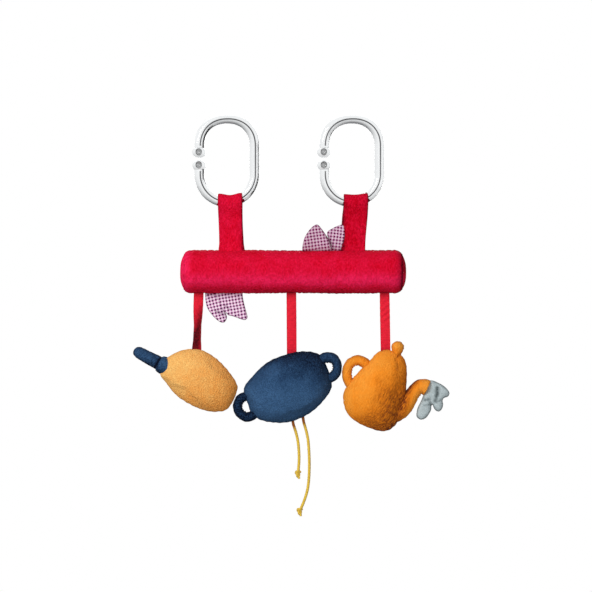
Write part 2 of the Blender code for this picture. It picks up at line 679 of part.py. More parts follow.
def make_noodle(name, route, pivot):
    """One noodle: a cord that swings from the pot's seam, with a knot at its end."""
    exit_x, exit_z = route[0]
    swing = empty(name + "_swing", (exit_x, 0, exit_z), pivot)
    local = [(x - exit_x, z - exit_z) for x, z in route]
    local[0] = (0.0, CORD_TUCK)
    points = even_path(local, CORD_STEP)
    part(name, tube_mesh(name, points, [CORD_RADIUS] * len(points)), "yellow", swing)
    bm = bmesh.new()
    bmesh.ops.create_uvsphere(bm, u_segments=10, v_segments=6, radius=KNOT_RADIUS * MM)
    end = Vector(points[-1]) - Vector(points[-2])
    centre = Vector(points[-1]) + end.normalized() * (KNOT_RADIUS + FIT_GAP)
    bmesh.ops.translate(bm, vec=Vector((centre.x, 0, centre.y)) * MM, verts=bm.verts[:])
    part(name + "_knot", mesh_from(name + "_knot", bm), "yellow", swing)


def make_pot(pivot):
    """The cooking pot: body, two loop handles and the two noodles."""
    clearance = make_stuffed_body("pot", POT, "navy", SQUEAKER, "pot_squeaker", "capsule", pivot)
    make_limb("pot_handle_left", POT_HANDLE_LEFT, "navy", pivot, clearance)
    make_limb("pot_handle_right", POT_HANDLE_RIGHT, "navy", pivot, clearance)
    make_noodle("noodle_short", NOODLE_SHORT, pivot)
    make_noodle("noodle_long", NOODLE_LONG, pivot)


def make_teapot(pivot):
    """The teapot: body, handle, lid knob, spout, and the splash hinged at the spout's mouth."""
    clearance = make_stuffed_body("teapot", TEAPOT, "orange", BELL, "teapot_bell", "brass", pivot)
    make_limb("teapot_handle", TEAPOT_HANDLE, "orange", pivot, clearance)
    make_limb("teapot_spout", TEAPOT_SPOUT, "orange", pivot, clearance)
    bm = bmesh.new()
    bmesh.ops.create_uvsphere(bm, u_segments=14, v_segments=8, radius=TEAPOT_KNOB_RADIUS * MM)
    knob_centre = Vector((TEAPOT_KNOB_CENTRE[0], 0, TEAPOT_KNOB_CENTRE[1])) * MM
    bmesh.ops.translate(bm, vec=knob_centre, verts=bm.verts[:])
    boolean(part("teapot_knob", mesh_from("teapot_knob", bm), "orange", pivot), clearance)
    hinge_x = MOUTH[0] + MOUTH_DIRECTION[0] * SPLASH_HINGE_GAP
    hinge_z = MOUTH[1] + MOUTH_DIRECTION[1] * SPLASH_HINGE_GAP
    hinge = empty("splash_hinge", (hinge_x, 0, hinge_z), pivot)
    mesh = stuffed_mesh("splash", SPLASH, meridians=SPLASH_MERIDIANS, rings=SPLASH_RINGS)
    mesh.transform(Matrix.Translation(Vector((-hinge_x, 0, -hinge_z)) * MM))
    part("splash", mesh, "water", hinge)


def build():
    """Puts the whole toy bar together."""
    left_seat = empty("left_ring_seat", (0, 0, 0))
    make_ring("ring_left", left_seat)
    swing = empty("bar_swing", (0, 0, SWING_HEIGHT), left_seat)
    right_seat = empty("right_ring_hinge", (RING_SPACING, 0, 0), swing)
    right_frame = empty("right_ring_seat", (0, 0, -SWING_HEIGHT), right_seat)
    make_ring("ring_right", right_frame)
    make_strap("strap_left", 0.0, STRAP_OFFSETS[0], STRAP_LEANS[0], swing)
    make_strap("strap_right", RING_SPACING, STRAP_OFFSETS[1], STRAP_LEANS[1], swing)
    make_roll(swing)
    for name, outline in LEAVES.items():
        make_leaf(name, outline, LEAF_FORWARD if "top" in name else 0.0, swing)
    make_pan(make_ribbon("left", swing))
    make_pot(make_ribbon("middle", swing))
    make_teapot(make_ribbon("right", swing))


build()
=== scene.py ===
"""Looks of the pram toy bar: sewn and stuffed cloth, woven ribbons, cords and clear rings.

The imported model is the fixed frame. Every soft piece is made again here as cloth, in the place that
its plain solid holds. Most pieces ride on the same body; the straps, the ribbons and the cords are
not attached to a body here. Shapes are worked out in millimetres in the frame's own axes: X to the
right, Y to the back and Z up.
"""

import json
import logging
import math
from dataclasses import dataclass, replace
from enum import Enum
from typing import Iterable, Sequence

import bmesh
import bpy
import numpy as np
from bpy.types import Material, Node, NodeSocket, NodeTree, Object
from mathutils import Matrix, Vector, noise
from mathutils.geometry import delaunay_2d_cdt
from mathutils.kdtree import KDTree


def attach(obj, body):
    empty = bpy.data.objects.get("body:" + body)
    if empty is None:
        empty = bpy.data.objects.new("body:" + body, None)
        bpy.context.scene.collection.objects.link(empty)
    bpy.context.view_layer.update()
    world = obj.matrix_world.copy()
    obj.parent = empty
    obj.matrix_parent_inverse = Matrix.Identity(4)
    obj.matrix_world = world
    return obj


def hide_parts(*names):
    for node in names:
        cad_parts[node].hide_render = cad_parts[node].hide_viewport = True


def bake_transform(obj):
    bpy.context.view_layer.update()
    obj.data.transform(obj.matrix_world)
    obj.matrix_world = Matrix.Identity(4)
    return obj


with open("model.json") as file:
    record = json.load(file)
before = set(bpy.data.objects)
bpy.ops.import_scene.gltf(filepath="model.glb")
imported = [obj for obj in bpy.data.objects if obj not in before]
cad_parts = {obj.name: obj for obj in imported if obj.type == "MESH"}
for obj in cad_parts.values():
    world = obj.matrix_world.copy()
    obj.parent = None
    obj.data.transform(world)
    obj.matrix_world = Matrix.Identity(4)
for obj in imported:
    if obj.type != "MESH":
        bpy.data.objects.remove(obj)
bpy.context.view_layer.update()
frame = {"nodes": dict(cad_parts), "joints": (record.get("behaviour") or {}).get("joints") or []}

LOG = logging.getLogger("pram_toy_bar")
MM = 0.001
TAB_SPACING = 0.8
TURN = 2 * math.pi

Array = np.ndarray
Pair = tuple[float, float]
Place = tuple[float, float, float]
Colour = tuple[int, int, int]
Faces = list[tuple[int, ...]]


class Body(Enum):
    """The bodies that pieces ride on."""

    LEFT_RING = "left_ring"
    RIGHT_RING = "right_ring"
    BAR = "bar"
    LEFT_RIBBON = "left_ribbon"
    MIDDLE_RIBBON = "middle_ribbon"
    RIGHT_RIBBON = "right_ribbon"
    PAN = "pan"
    POT = "pot"
    TEAPOT = "teapot"
    WATER = "water"
    SHORT_NOODLE = "short_noodle"
    LONG_NOODLE = "long_noodle"
    TOP_LEFT_LEAF = "top_left_leaf"
    TOP_RIGHT_LEAF = "top_right_leaf"
    BOTTOM_LEFT_LEAF = "bottom_left_leaf"
    BOTTOM_RIGHT_LEAF = "bottom_right_leaf"


class Slot(Enum):
    """The record's material slots."""

    CLEAR = "clear_plastic"
    CRIMSON = "crimson_velour"
    RIBBON = "red_ribbon"
    GINGHAM = "purple_gingham"
    APRICOT = "apricot_plush"
    NAVY = "navy_fleece"
    ORANGE = "orange_plush"
    WATER = "pale_water_cloth"
    CORD = "yellow_cord"
    FILLING = "polyester_filling"
    CAPSULE = "white_plastic"
    BRASS = "bell_brass"


class Panel(Enum):
    """The cut pieces of a sewn skin, by the number that their faces carry."""

    FRONT = 0
    BACK = 1
    LEFT_END = 2
    RIGHT_END = 3


def linear(colour: Colour) -> tuple[float, float, float, float]:
    """A 0 to 255 display colour as linear values."""
    shares = [channel / 255 for channel in colour]
    values = [s / 12.92 if s <= 0.04045 else ((s + 0.055) / 1.055) ** 2.4 for s in shares]
    return (*values, 1.0)


def joint_at(name: str) -> Array:
    """Where a joint of the frame is, in millimetres."""
    found = next(joint for joint in frame["joints"] if joint["name"] == name)
    return np.array(found["pos_m"]) / MM


# Node trees: a small helper, the effects that several finishes share, and the finishes.


class Graph:
    """A node tree that is being wired up."""

    def __init__(self, tree: NodeTree) -> None:
        """Keeps the tree that the nodes go into."""
        self.tree = tree

    def feed(self, socket: NodeSocket, value: object) -> None:
        """Links a socket to another one, or sets its value."""
        if isinstance(value, NodeSocket):
            self.tree.links.new(value, socket)
        else:
            socket.default_value = value

    def node(self, kind: str, inputs: dict | None = None, **settings: object) -> Node:
        """Adds a shader node.

        Args:
            kind: the node's type without its ShaderNode prefix.
            inputs: values or sockets by input name or number.
            settings: the node's own properties.

        Returns:
            The new node.
        """
        made = self.tree.nodes.new("ShaderNode" + kind)
        for key, value in settings.items():
            setattr(made, key, value)
        for key, value in (inputs or {}).items():
            self.feed(made.inputs[key], value)
        return made

    def math(self, operation: str, *values: object, clamp: bool = False) -> NodeSocket:
        """Adds a Math node and returns its result."""
        made = self.node("Math", dict(enumerate(values)), operation=operation, use_clamp=clamp)
        return made.outputs[0]

    def line(self, value: object, factor: object, offset: object, clamp: bool = False) -> NodeSocket:
        """A value times a factor, plus an offset."""
        return self.math("MULTIPLY_ADD", value, factor, offset, clamp=clamp)

    def blend(self, share: object, first: object, second: object) -> NodeSocket:
        """Mixes two colours and returns the result."""
        made = self.node("Mix", {0: share, 6: first, 7: second}, data_type="RGBA")
        return made.outputs[2]

    def noise(self, place: object, scale: object, detail: float = 2.0) -> NodeSocket:
        """Adds a noise texture and returns its 0 to 1 value."""
        made = self.node("TexNoise", {"Vector": place, "Scale": scale, "Detail": detail})
        return made.outputs[0]

    def group(self, tree: NodeTree, inputs: dict) -> Node:
        """Places a node group with its own values."""
        made = self.tree.nodes.new("ShaderNodeGroup")
        made.node_tree = tree
        for key, value in inputs.items():
            self.feed(made.inputs[key], value)
        return made

    def attribute(self, name: str) -> Node:
        """Reads a value that the mesh carries."""
        return self.node("Attribute", attribute_name=name)

    def relief(self, shader: Node, strength: float, depth: float, height: object) -> None:
        """Gives a shader fine relief, with its depth in millimetres."""
        made = self.node("Bump", {"Strength": strength, "Distance": depth * MM, "Height": height})
        self.feed(shader.inputs["Normal"], made.outputs[0])


def open_group(name: str, inputs: dict, outputs: dict) -> tuple[Graph, Node, Node]:
    """Starts a shader node group.

    Args:
        name: the group's name.
        inputs: socket kind and default value by input name.
        outputs: socket kind by output name.

    Returns:
        The graph to fill, the node that holds the inputs, and the node that takes the outputs.
    """
    tree = bpy.data.node_groups.new(name, "ShaderNodeTree")
    for label, (kind, value) in inputs.items():
        socket = tree.interface.new_socket(label, in_out="INPUT", socket_type="NodeSocket" + kind)
        socket.default_value = value
    for label, kind in outputs.items():
        tree.interface.new_socket(label, in_out="OUTPUT", socket_type="NodeSocket" + kind)
    source = tree.nodes.new("NodeGroupInput")
    sink = tree.nodes.new("NodeGroupOutput")
    return Graph(tree), source, sink


def make_nap_group() -> NodeTree:
    """Brushed pile: fine tufts over broad strokes where the nap lies another way."""
    inputs = {"Cloth": ("Vector", (0, 0, 0)), "Tuft": ("Float", 0.8), "Stroke": ("Float", 7.0),
              "Comb": ("Float", 1.0)}
    graph, source, sink = open_group("nap", inputs, {"Mottle": "Float", "Tuft": "Float"})
    cloth = source.outputs["Cloth"]
    comb = graph.node("CombineXYZ", {0: 1.0, 1: 1.0, 2: source.outputs["Comb"]}).outputs[0]
    combed = graph.node("VectorMath", {0: cloth, 1: comb}, operation="MULTIPLY").outputs[0]
    tuft = graph.noise(combed, graph.math("DIVIDE", 1.0, source.outputs["Tuft"]), 3.0)
    stroke = graph.noise(cloth, graph.math("DIVIDE", 1.0, source.outputs["Stroke"]), 2.0)
    fine = graph.line(tuft, 3.2, -1.1, clamp=True)
    broad = graph.line(stroke, 3.0, -1.0, clamp=True)
    mottle = graph.math("ADD", graph.math("MULTIPLY", fine, 0.6), graph.math("MULTIPLY", broad, 0.4))
    graph.feed(sink.inputs["Mottle"], mottle)
    graph.feed(sink.inputs["Tuft"], fine)
    return graph.tree


def make_weave_group() -> NodeTree:
    """Plain woven threads: rounded warp and weft that pass over each other in turn."""
    inputs = {"Cloth": ("Vector", (0, 0, 0)), "Pitch": ("Float", 0.5), "Slant": ("Float", 0.0)}
    graph, source, sink = open_group("weave", inputs, {"Height": "Float", "Gap": "Float"})
    parts = graph.node("SeparateXYZ", {0: source.outputs["Cloth"]})
    pitch = source.outputs["Pitch"]
    leaned = graph.line(parts.outputs[0], source.outputs["Slant"], parts.outputs[1])
    waves = []
    for place in (parts.outputs[0], leaned):
        angle = graph.math("MULTIPLY", graph.math("DIVIDE", place, pitch), math.pi)
        waves.append(graph.math("SINE", angle))
    product = graph.math("MULTIPLY", *waves)
    height = graph.math("POWER", graph.math("ABSOLUTE", product), 0.5)
    graph.feed(sink.inputs["Height"], height)
    graph.feed(sink.inputs["Gap"], graph.math("SUBTRACT", 1.0, height, clamp=True))
    return graph.tree


def make_seam_group() -> NodeTree:
    """Painted shade beside seams and in folds, where the pile is crushed and little light gets in, made
    uneven by noise.
    """
    inputs = {"Cloth": ("Vector", (0, 0, 0)), "Seam": ("Float", 0.0), "Depth": ("Float", 0.6)}
    graph, source, sink = open_group("seam_shade", inputs, {"Shade": "Float"})
    rough = graph.noise(source.outputs["Cloth"], 0.45, 2.0)
    uneven = graph.line(rough, 0.8, 0.6)
    near = graph.math("MULTIPLY", graph.math("MULTIPLY", source.outputs["Seam"], uneven),
                      source.outputs["Depth"], clamp=True)
    graph.feed(sink.inputs["Shade"], near)
    return graph.tree


class Effects:
    """The node groups that the finishes share, each built once."""

    def __init__(self) -> None:
        """Builds the groups."""
        self.nap = make_nap_group()
        self.weave = make_weave_group()
        self.seam = make_seam_group()

    def near_seam(self, graph: Graph, cloth: object, depth: float) -> NodeSocket:
        """How far a finish is darkened by the painted shade that the mesh carries beside seams, in folds
        and where other parts shade it.
        """
        seam = graph.attribute("seam").outputs["Fac"]
        return graph.group(self.seam, {"Cloth": cloth, "Seam": seam, "Depth": depth}).outputs["Shade"]


def new_material(name: str, values: dict[str, object]) -> tuple[Material, Graph, Node]:
    """Starts a node material.

    Args:
        name: its name.
        values: the fixed values of its Principled shader, by input name.

    Returns:
        The material, its graph and its shader.
    """
    material = bpy.data.materials.new(name)
    material.use_nodes = True
    shader = material.node_tree.nodes["Principled BSDF"]
    for key, value in values.items():
        shader.inputs[key].default_value = value
    return material, Graph(material.node_tree), shader


@dataclass(frozen=True)
class PileCloth:
    """Velour, fleece or plush: short brushed fibres on a knitted ground, with painted shade and painted
    light in its colour.
    """

    name: str
    # The deep colour also serves as painted shade: beside seams and folds, as strong as seam_depth, and
    # between the tufts, as strong as hollow.
    deep: Colour
    face: Colour
    # The lightest colour, for the tips and for painted light where the painted gradient lifts the pile.
    tips_and_painted_light: Colour
    tuft: float = 1.6
    stroke: float = 7.0
    comb: float = 1.0
    mottle: float = 1.0
    hollow: float = 0.35
    relief: float = 0.5
    sheen: float = 0.4
    sheen_colour: Colour = (255, 255, 255)
    seam_depth: float = 0.6

    def build(self, effects: Effects) -> Material:
        """The finish as a material."""
        material, graph, shader = new_material(self.name, {
            "Roughness": 0.95, "Specular IOR Level": 0.06, "Sheen Weight": self.sheen,
            "Sheen Roughness": 0.45, "Sheen Tint": linear(self.sheen_colour)})
        cloth = graph.attribute("cloth").outputs["Vector"]
        nap = graph.group(effects.nap, {"Cloth": cloth, "Tuft": self.tuft, "Stroke": self.stroke,
                                        "Comb": self.comb})
        near = effects.near_seam(graph, cloth, self.seam_depth)
        # Painted light and shade from the gradient values on the mesh: above 0 lifts the colour towards the
        # lightest one, below 0 darkens it towards the deep one.
        lie = graph.attribute("lie").outputs["Fac"]
        pressed = graph.math("MULTIPLY", lie, -0.7, clamp=True)
        lifted = graph.line(pressed, 0.5, lie)
        lifted = graph.line(nap.outputs["Mottle"], self.mottle, lifted, clamp=True)
        brushed = graph.blend(lifted, linear(self.face), linear(self.tips_and_painted_light))
        # Painted shade between the tufts, beside seams and in folds.
        depth = graph.line(pressed, 1.4, self.hollow)
        between = graph.math("SUBTRACT", 1.0, nap.outputs["Tuft"])
        dark = graph.line(between, depth, graph.math("MULTIPLY", pressed, 0.65))
        dark = graph.math("ADD", dark, near, clamp=True)
        graph.feed(shader.inputs["Base Color"], graph.blend(dark, brushed, linear(self.deep)))
        graph.relief(shader, self.relief, 0.6 * self.tuft, nap.outputs["Tuft"])
        return material


@dataclass(frozen=True)
class WovenCloth:
    """Plain woven cloth or ribbon of one colour, with painted shade between its threads, beside seams and
    in folds.
    """

    name: str
    # The deep colour also serves as the painted shade.
    deep: Colour
    face: Colour
    pitch: float
    slant: float = 0.0
    relief: float = 0.5
    roughness: float = 0.6
    sheen: float = 0.2
    seam_depth: float = 0.6
    rib: float = 0.0
    rib_pitch: float = 1.5

    def build(self, effects: Effects) -> Material:
        """The finish as a material."""
        material, graph, shader = new_material(self.name, {
            "Roughness": self.roughness, "Specular IOR Level": 0.12, "Sheen Weight": self.sheen})
        cloth = graph.attribute("cloth").outputs["Vector"]
        weave = graph.group(effects.weave, {"Cloth": cloth, "Pitch": self.pitch, "Slant": self.slant})
        down = graph.node("SeparateXYZ", {0: cloth}).outputs[1]
        ribs = graph.math("SINE", graph.math("MULTIPLY", down, TURN / self.rib_pitch))
        near = effects.near_seam(graph, cloth, self.seam_depth)
        # Painted shade between the threads and beside seams; the slub and the ribs are the cloth's own
        # uneven tone.
        gap = graph.math("MULTIPLY", weave.outputs["Gap"], 0.22)
        slub = graph.line(graph.noise(cloth, 0.35, 3.0), 0.5, -0.15, clamp=True)
        slub = graph.line(ribs, self.rib, slub)
        dark = graph.math("ADD", graph.math("ADD", gap, slub), near, clamp=True)
        graph.feed(shader.inputs["Base Color"], graph.blend(dark, linear(self.face), linear(self.deep)))
        graph.relief(shader, self.relief, 0.3 * self.pitch, weave.outputs["Height"])
        return material


@dataclass(frozen=True)
class Gingham:
    """Checked cotton: white, a mid tone where one band lies, and a deep tone where two cross, with painted
    shade and a painted red reflection.
    """

    name: str
    white: Colour
    band: Colour
    crossing: Colour
    repeat: float
    # The dark red of the painted reflection of the velour roll and of the painted shade near a leaf's root.
    painted_reflection_and_shade: Colour = (120, 10, 40)
    pitch: float = 0.35
    seam_depth: float = 0.45

    def build(self, effects: Effects) -> Material:
        """The finish as a material."""
        material, graph, shader = new_material(self.name, {"Roughness": 0.85, "Specular IOR Level": 0.2})
        cloth = graph.attribute("cloth").outputs["Vector"]
        parts = graph.node("SeparateXYZ", {0: cloth})
        wander = graph.noise(cloth, 0.12, 1.0)
        bands = []
        for axis in (0, 1):
            place = graph.line(wander, 0.9, parts.outputs[axis])
            wave = graph.math("SINE", graph.math("MULTIPLY", place, TURN / self.repeat))
            bands.append(graph.line(wave, 4.0, 0.25, clamp=True))
        both = graph.math("MULTIPLY", *bands)
        either = graph.math("MAXIMUM", *bands)
        one = graph.blend(either, linear(self.white), linear(self.band))
        checked = graph.blend(both, one, linear(self.crossing))
        weave = graph.group(effects.weave, {"Cloth": cloth, "Pitch": self.pitch, "Slant": 0.0})
        near = effects.near_seam(graph, cloth, self.seam_depth)
        # Painted shade between the threads and beside hems and folds, towards the crossing colour.
        shade = graph.line(weave.outputs["Gap"], 0.15, near, clamp=True)
        plain = graph.blend(shade, checked, linear(self.crossing))
        # Painted reflection and shade from the values that the mesh carries.
        painted_reflection_and_shade = graph.attribute("lie").outputs["Fac"]
        graph.feed(shader.inputs["Base Color"], graph.blend(painted_reflection_and_shade, plain, linear(self.painted_reflection_and_shade)))
        graph.relief(shader, 0.4, 0.3 * self.pitch, weave.outputs["Height"])
        return material


@dataclass(frozen=True)
class ClearPlastic:
    """Clear moulded plastic with the mould's faint ripple, with painted shade on two sides and at its rims
    that stands for dark refraction.
    """

    name: str
    tint: Colour = (240, 242, 243)
    # The colour of the painted shade on the two dark sides and at the rims.
    edge: Colour = (60, 62, 65)
    # The colour of the painted dark line along the groove and of the painted shade in the dimples.
    recess: Colour = (6, 6, 7)
    roughness: float = 0.03
    # The two directions whose facing surfaces get the broad and the thin painted shade.
    painted_shade_sides: tuple[Place, Place] = ((-0.2, 0.0, -0.98), (0.75, 0.0, -0.6))

    def build(self, effects: Effects) -> Material:
        """The finish as a material."""
        material, graph, shader = new_material(self.name, {"Transmission Weight": 1.0, "IOR": 1.49})
        place = graph.node("TexCoord").outputs["Object"]
        haze = graph.line(graph.noise(place, 400.0, 3.0), 0.06, self.roughness)
        graph.relief(shader, 0.12, 0.3, graph.noise(place, 140.0, 2.0))
        graph.feed(shader.inputs["Roughness"], haze)
        # Painted shade for dark refraction: broad where surfaces face the first direction, weaker on the
        # balls; thin at the rims, strongest facing the second; only on outer faces.
        facing = graph.node("LayerWeight", {"Blend": 0.5}).outputs["Facing"]
        surface = graph.node("NewGeometry").outputs
        leans = [graph.node("VectorMath", {0: surface["Normal"], 1: side}, operation="DOT_PRODUCT")
                 .outputs[1] for side in self.painted_shade_sides]
        ball = graph.line(graph.attribute("seam").outputs["Fac"], -0.65, 1.0)
        broad = graph.math("MULTIPLY", graph.line(leans[0], 1.35, -0.05), ball)
        shade = graph.math("MAXIMUM", graph.line(leans[1], 0.95, 0.75), 0.1)
        thin = graph.math("MULTIPLY", graph.math("POWER", facing, 3.0), shade)
        rim = graph.math("MAXIMUM", broad, thin)
        outer = graph.math("SUBTRACT", 1.0, surface["Backfacing"])
        seen = graph.math("MULTIPLY", rim, outer, clamp=True)
        clear = graph.blend(seen, linear(self.tint), linear(self.edge))
        # The painted dark line along the front groove and the painted shade in the dimples.
        hollow = graph.attribute("recess").outputs["Fac"]
        graph.feed(shader.inputs["Base Color"], graph.blend(hollow, clear, linear(self.recess)))
        return material


@dataclass(frozen=True)
class HardFinish:
    """A small moulded or pressed part: plain plastic or metal with a fine grain."""

    name: str
    deep: Colour
    face: Colour
    roughness: float
    metallic: float
    grain: float

    def build(self, effects: Effects) -> Material:
        """The finish as a material."""
        material, graph, shader = new_material(self.name, {"Metallic": self.metallic})
        grain = graph.noise(graph.node("TexCoord").outputs["Object"], self.grain, 4.0)
        graph.feed(shader.inputs["Base Color"], graph.blend(grain, linear(self.deep), linear(self.face)))
        graph.feed(shader.inputs["Roughness"], graph.line(grain, 0.2, self.roughness))
        graph.relief(shader, 0.2, 0.1, grain)
        return material


# The cloths' deep colours are also their painted shade, the pile cloths' lightest colours also their
# painted light, and the clear plastic's two darker colours its painted shade.
FINISHES = {
    Slot.CRIMSON: PileCloth("crimson_velour", deep=(84, 0, 18), face=(220, 0, 32), tips_and_painted_light=(255, 36, 92),
                            tuft=1.4, stroke=10.0, comb=0.6, mottle=0.42, hollow=0.17, relief=0.5,
                            sheen=0.05, sheen_colour=(255, 60, 120), seam_depth=0.8),
    Slot.APRICOT: PileCloth("apricot_plush", deep=(150, 84, 34), face=(255, 166, 76),
                            tips_and_painted_light=(255, 206, 124), tuft=1.2, stroke=9.0, mottle=0.5, hollow=0.14,
                            relief=0.6, sheen=0.08, sheen_colour=(255, 220, 160), seam_depth=0.5),
    Slot.NAVY: PileCloth("navy_fleece", deep=(8, 16, 36), face=(42, 72, 108), tips_and_painted_light=(68, 106, 148),
                         tuft=1.0, stroke=8.0, mottle=0.5, hollow=0.25, relief=0.7, sheen=0.04,
                         sheen_colour=(150, 180, 220), seam_depth=0.9),
    Slot.ORANGE: PileCloth("orange_plush", deep=(104, 42, 24), face=(255, 144, 30), tips_and_painted_light=(255, 174, 70),
                           tuft=1.1, stroke=8.0, comb=0.28, mottle=0.4, hollow=0.06, relief=0.6,
                           sheen=0.06, sheen_colour=(255, 210, 150), seam_depth=0.6),
    Slot.FILLING: PileCloth("polyester_filling", deep=(205, 205, 200), face=(236, 236, 232),
                            tips_and_painted_light=(250, 250, 248), tuft=2.2, relief=0.9),
    Slot.RIBBON: WovenCloth("red_ribbon", deep=(84, 0, 12), face=(255, 32, 58), pitch=0.45, slant=1.0,
                            roughness=0.6, sheen=0.0, seam_depth=0.8, rib=0.06),
    Slot.WATER: WovenCloth("pale_water_cloth", deep=(48, 60, 62), face=(202, 216, 219), pitch=0.5,
                           roughness=0.6, sheen=0.1, seam_depth=0.85),
    Slot.CORD: WovenCloth("yellow_cord", deep=(150, 78, 10), face=(255, 220, 84), pitch=0.55, slant=1.0,
                          relief=0.45, roughness=0.55, sheen=0.2, seam_depth=0.9),
    Slot.GINGHAM: Gingham("purple_gingham", white=(255, 252, 255), band=(238, 170, 220),
                          crossing=(34, 0, 30), repeat=2.8),
    Slot.CLEAR: ClearPlastic("clear_plastic"),
    Slot.CAPSULE: HardFinish("white_plastic", deep=(214, 214, 208), face=(240, 240, 236), roughness=0.35,
                             metallic=0.0, grain=900.0),
    Slot.BRASS: HardFinish("bell_brass", deep=(150, 116, 50), face=(212, 180, 100), roughness=0.25,
                           metallic=1.0, grain=500.0),
}


class Wardrobe:
    """Builds each finish once and hands it out by its slot."""

    def __init__(self) -> None:
        """Builds the shared effects."""
        self.effects = Effects()
        self.made: dict[Slot, Material] = {}

    def material(self, slot: Slot) -> Material:
        """The material of a slot."""
        if slot not in self.made:
            self.made[slot] = FINISHES[slot].build(self.effects)
        return self.made[slot]


# Lines and meshes.


def smooth_curve(points: Iterable[Sequence[float]], steps: int, closed: bool = False) -> Array:
    """A Catmull-Rom curve through points.

    Args:
        points: what the curve passes through, in any number of dimensions.
        steps: how many points it gets between two of them.
        closed: whether it joins up with its start.

    Returns:
        The curve's points, one in each row.
    """
    given = np.array(list(points), float)
    count = len(given)
    share = np.arange(steps)[:, None] / steps
    rows = []
    for i in range(count if closed else count - 1):
        picks = [(i + k) % count if closed else min(max(i + k, 0), count - 1) for k in (-1, 0, 1, 2)]
        a, b, c, d = given[picks]
        rows.append(0.5 * (2 * b + (c - a) * share + (2 * a - 5 * b + 4 * c - d) * share ** 2
                           + (3 * b - a - 3 * c + d) * share ** 3))
    return np.vstack(rows if closed else rows + [given[-1:]])


def distances_along(line: Array) -> Array:
    """How far along a line each of its points is."""
    return np.concatenate([[0.0], np.cumsum(np.linalg.norm(np.diff(line, axis=0), axis=1))])


def evenly(line: Array, step: float, closed: bool = False) -> Array:
    """The same line with points a fixed distance apart."""
    whole = np.vstack([line, line[:1]]) if closed else line
    along = distances_along(whole)
    marks = np.linspace(0, along[-1], max(3, round(along[-1] / step)) + 1)
    marks = marks[:-1] if closed else marks
    return np.column_stack([np.interp(marks, along, whole[:, k]) for k in range(whole.shape[1])])


def ease(values: Array | float) -> Array:
    """A smooth step from 0 to 1."""
    share = np.clip(values, 0, 1)
    return share * share * (3 - 2 * share)


def field(points: Array, size: float, seed: float) -> Array:
    """Smooth random values from about -1 to 1 that change over a size in millimetres."""
    origin = Vector((13.7 * seed, -7.1 * seed, 3.3 * seed))
    return np.array([noise.noise(Vector(p) / size + origin) for p in points])


def segment_distance(points: Array, start: Pair, end: Pair) -> Array:
    """How far X and Z points are from a straight piece between two of them."""
    a = np.array(start)
    run = np.array(end) - a
    share = np.clip(((points - a) @ run) / (run @ run), 0, 1)
    return np.linalg.norm(points - a - share[:, None] * run, axis=1)


def mesh_object(name: str, points: Array, faces: Faces) -> Object:
    """A smooth-shaded mesh object.

    Args:
        name: its name.
        points: its points in millimetres.
        faces: the point numbers of each face.

    Returns:
        The object, linked to the scene.
    """
    mesh = bpy.data.meshes.new(name)
    mesh.from_pydata((np.asarray(points) * MM).tolist(), [], faces)
    mesh.shade_smooth()
    obj = bpy.data.objects.new(name, mesh)
    bpy.context.scene.collection.objects.link(obj)
    return obj


def read_points(obj: Object) -> Array:
    """A mesh's points in millimetres."""
    flat = np.empty(len(obj.data.vertices) * 3, np.float32)
    obj.data.vertices.foreach_get("co", flat)
    return flat.reshape(-1, 3).astype(float) / MM


def write_points(obj: Object, points: Array) -> None:
    """Moves a mesh's points to new places in millimetres."""
    obj.data.vertices.foreach_set("co", (points * MM).astype(np.float32).ravel())
    obj.data.update()


def read_normals(obj: Object) -> Array:
    """A mesh's point normals."""
    flat = np.empty(len(obj.data.vertices) * 3, np.float32)
    obj.data.vertex_normals.foreach_get("vector", flat)
    return flat.reshape(-1, 3).astype(float)


def push(obj: Object, offsets: Array) -> None:
    """Moves a mesh's points along their normals by millimetres."""
    write_points(obj, read_points(obj) + read_normals(obj) * offsets[:, None])


def shift(obj: Object, offset: Array) -> None:
    """Moves a whole mesh by millimetres."""
    write_points(obj, read_points(obj) + offset)


def carry(obj: Object, name: str, values: Array) -> None:
    """Stores a number or a place on each point, for the finishes to read."""
    kind = "FLOAT_VECTOR" if values.ndim == 2 else "FLOAT"
    layer = obj.data.attributes.get(name) or obj.data.attributes.new(name, kind, "POINT")
    key = "vector" if values.ndim == 2 else "value"
    layer.data.foreach_set(key, values.astype(np.float32).ravel())


def settle(obj: Object) -> None:
    """Applies all of an object's modifiers."""
    graph = bpy.context.evaluated_depsgraph_get()
    mesh = bpy.data.meshes.new_from_object(obj.evaluated_get(graph), preserve_all_data_layers=True,
                                           depsgraph=graph)
    old = obj.data
    obj.modifiers.clear()
    obj.data = mesh
    mesh.name = obj.name
    bpy.data.meshes.remove(old)


def refine(obj: Object, levels: int) -> None:
    """Subdivides a mesh smoothly."""
    modifier = obj.modifiers.new("finer", "SUBSURF")
    modifier.levels = levels
    modifier.render_levels = levels
    settle(obj)
    obj.data.shade_smooth()


def thicken(obj: Object, wall: float, offset: float = -1.0) -> None:
    """Gives open cloth its thickness in millimetres."""
    modifier = obj.modifiers.new("cloth", "SOLIDIFY")
    modifier.thickness = wall * MM
    modifier.offset = offset
    settle(obj)


def unit_ball(cuts: int) -> tuple[Array, Faces]:
    """A ball of even four-sided faces, with an edge loop on its Y = 0 plane.

    Args:
        cuts: an odd number of cuts along each edge of the cube that it starts as.

    Returns:
        Its points at radius 1 and its faces.
    """
    bm = bmesh.new()
    bmesh.ops.create_cube(bm, size=2.0)
    bmesh.ops.subdivide_edges(bm, edges=bm.edges[:], cuts=cuts, use_grid_fill=True)
    points = np.tan(np.array([v.co for v in bm.verts]) * math.pi / 4)
    faces = [tuple(v.index for v in f.verts) for f in bm.faces]
    bm.free()
    return points / np.linalg.norm(points, axis=1)[:, None], faces


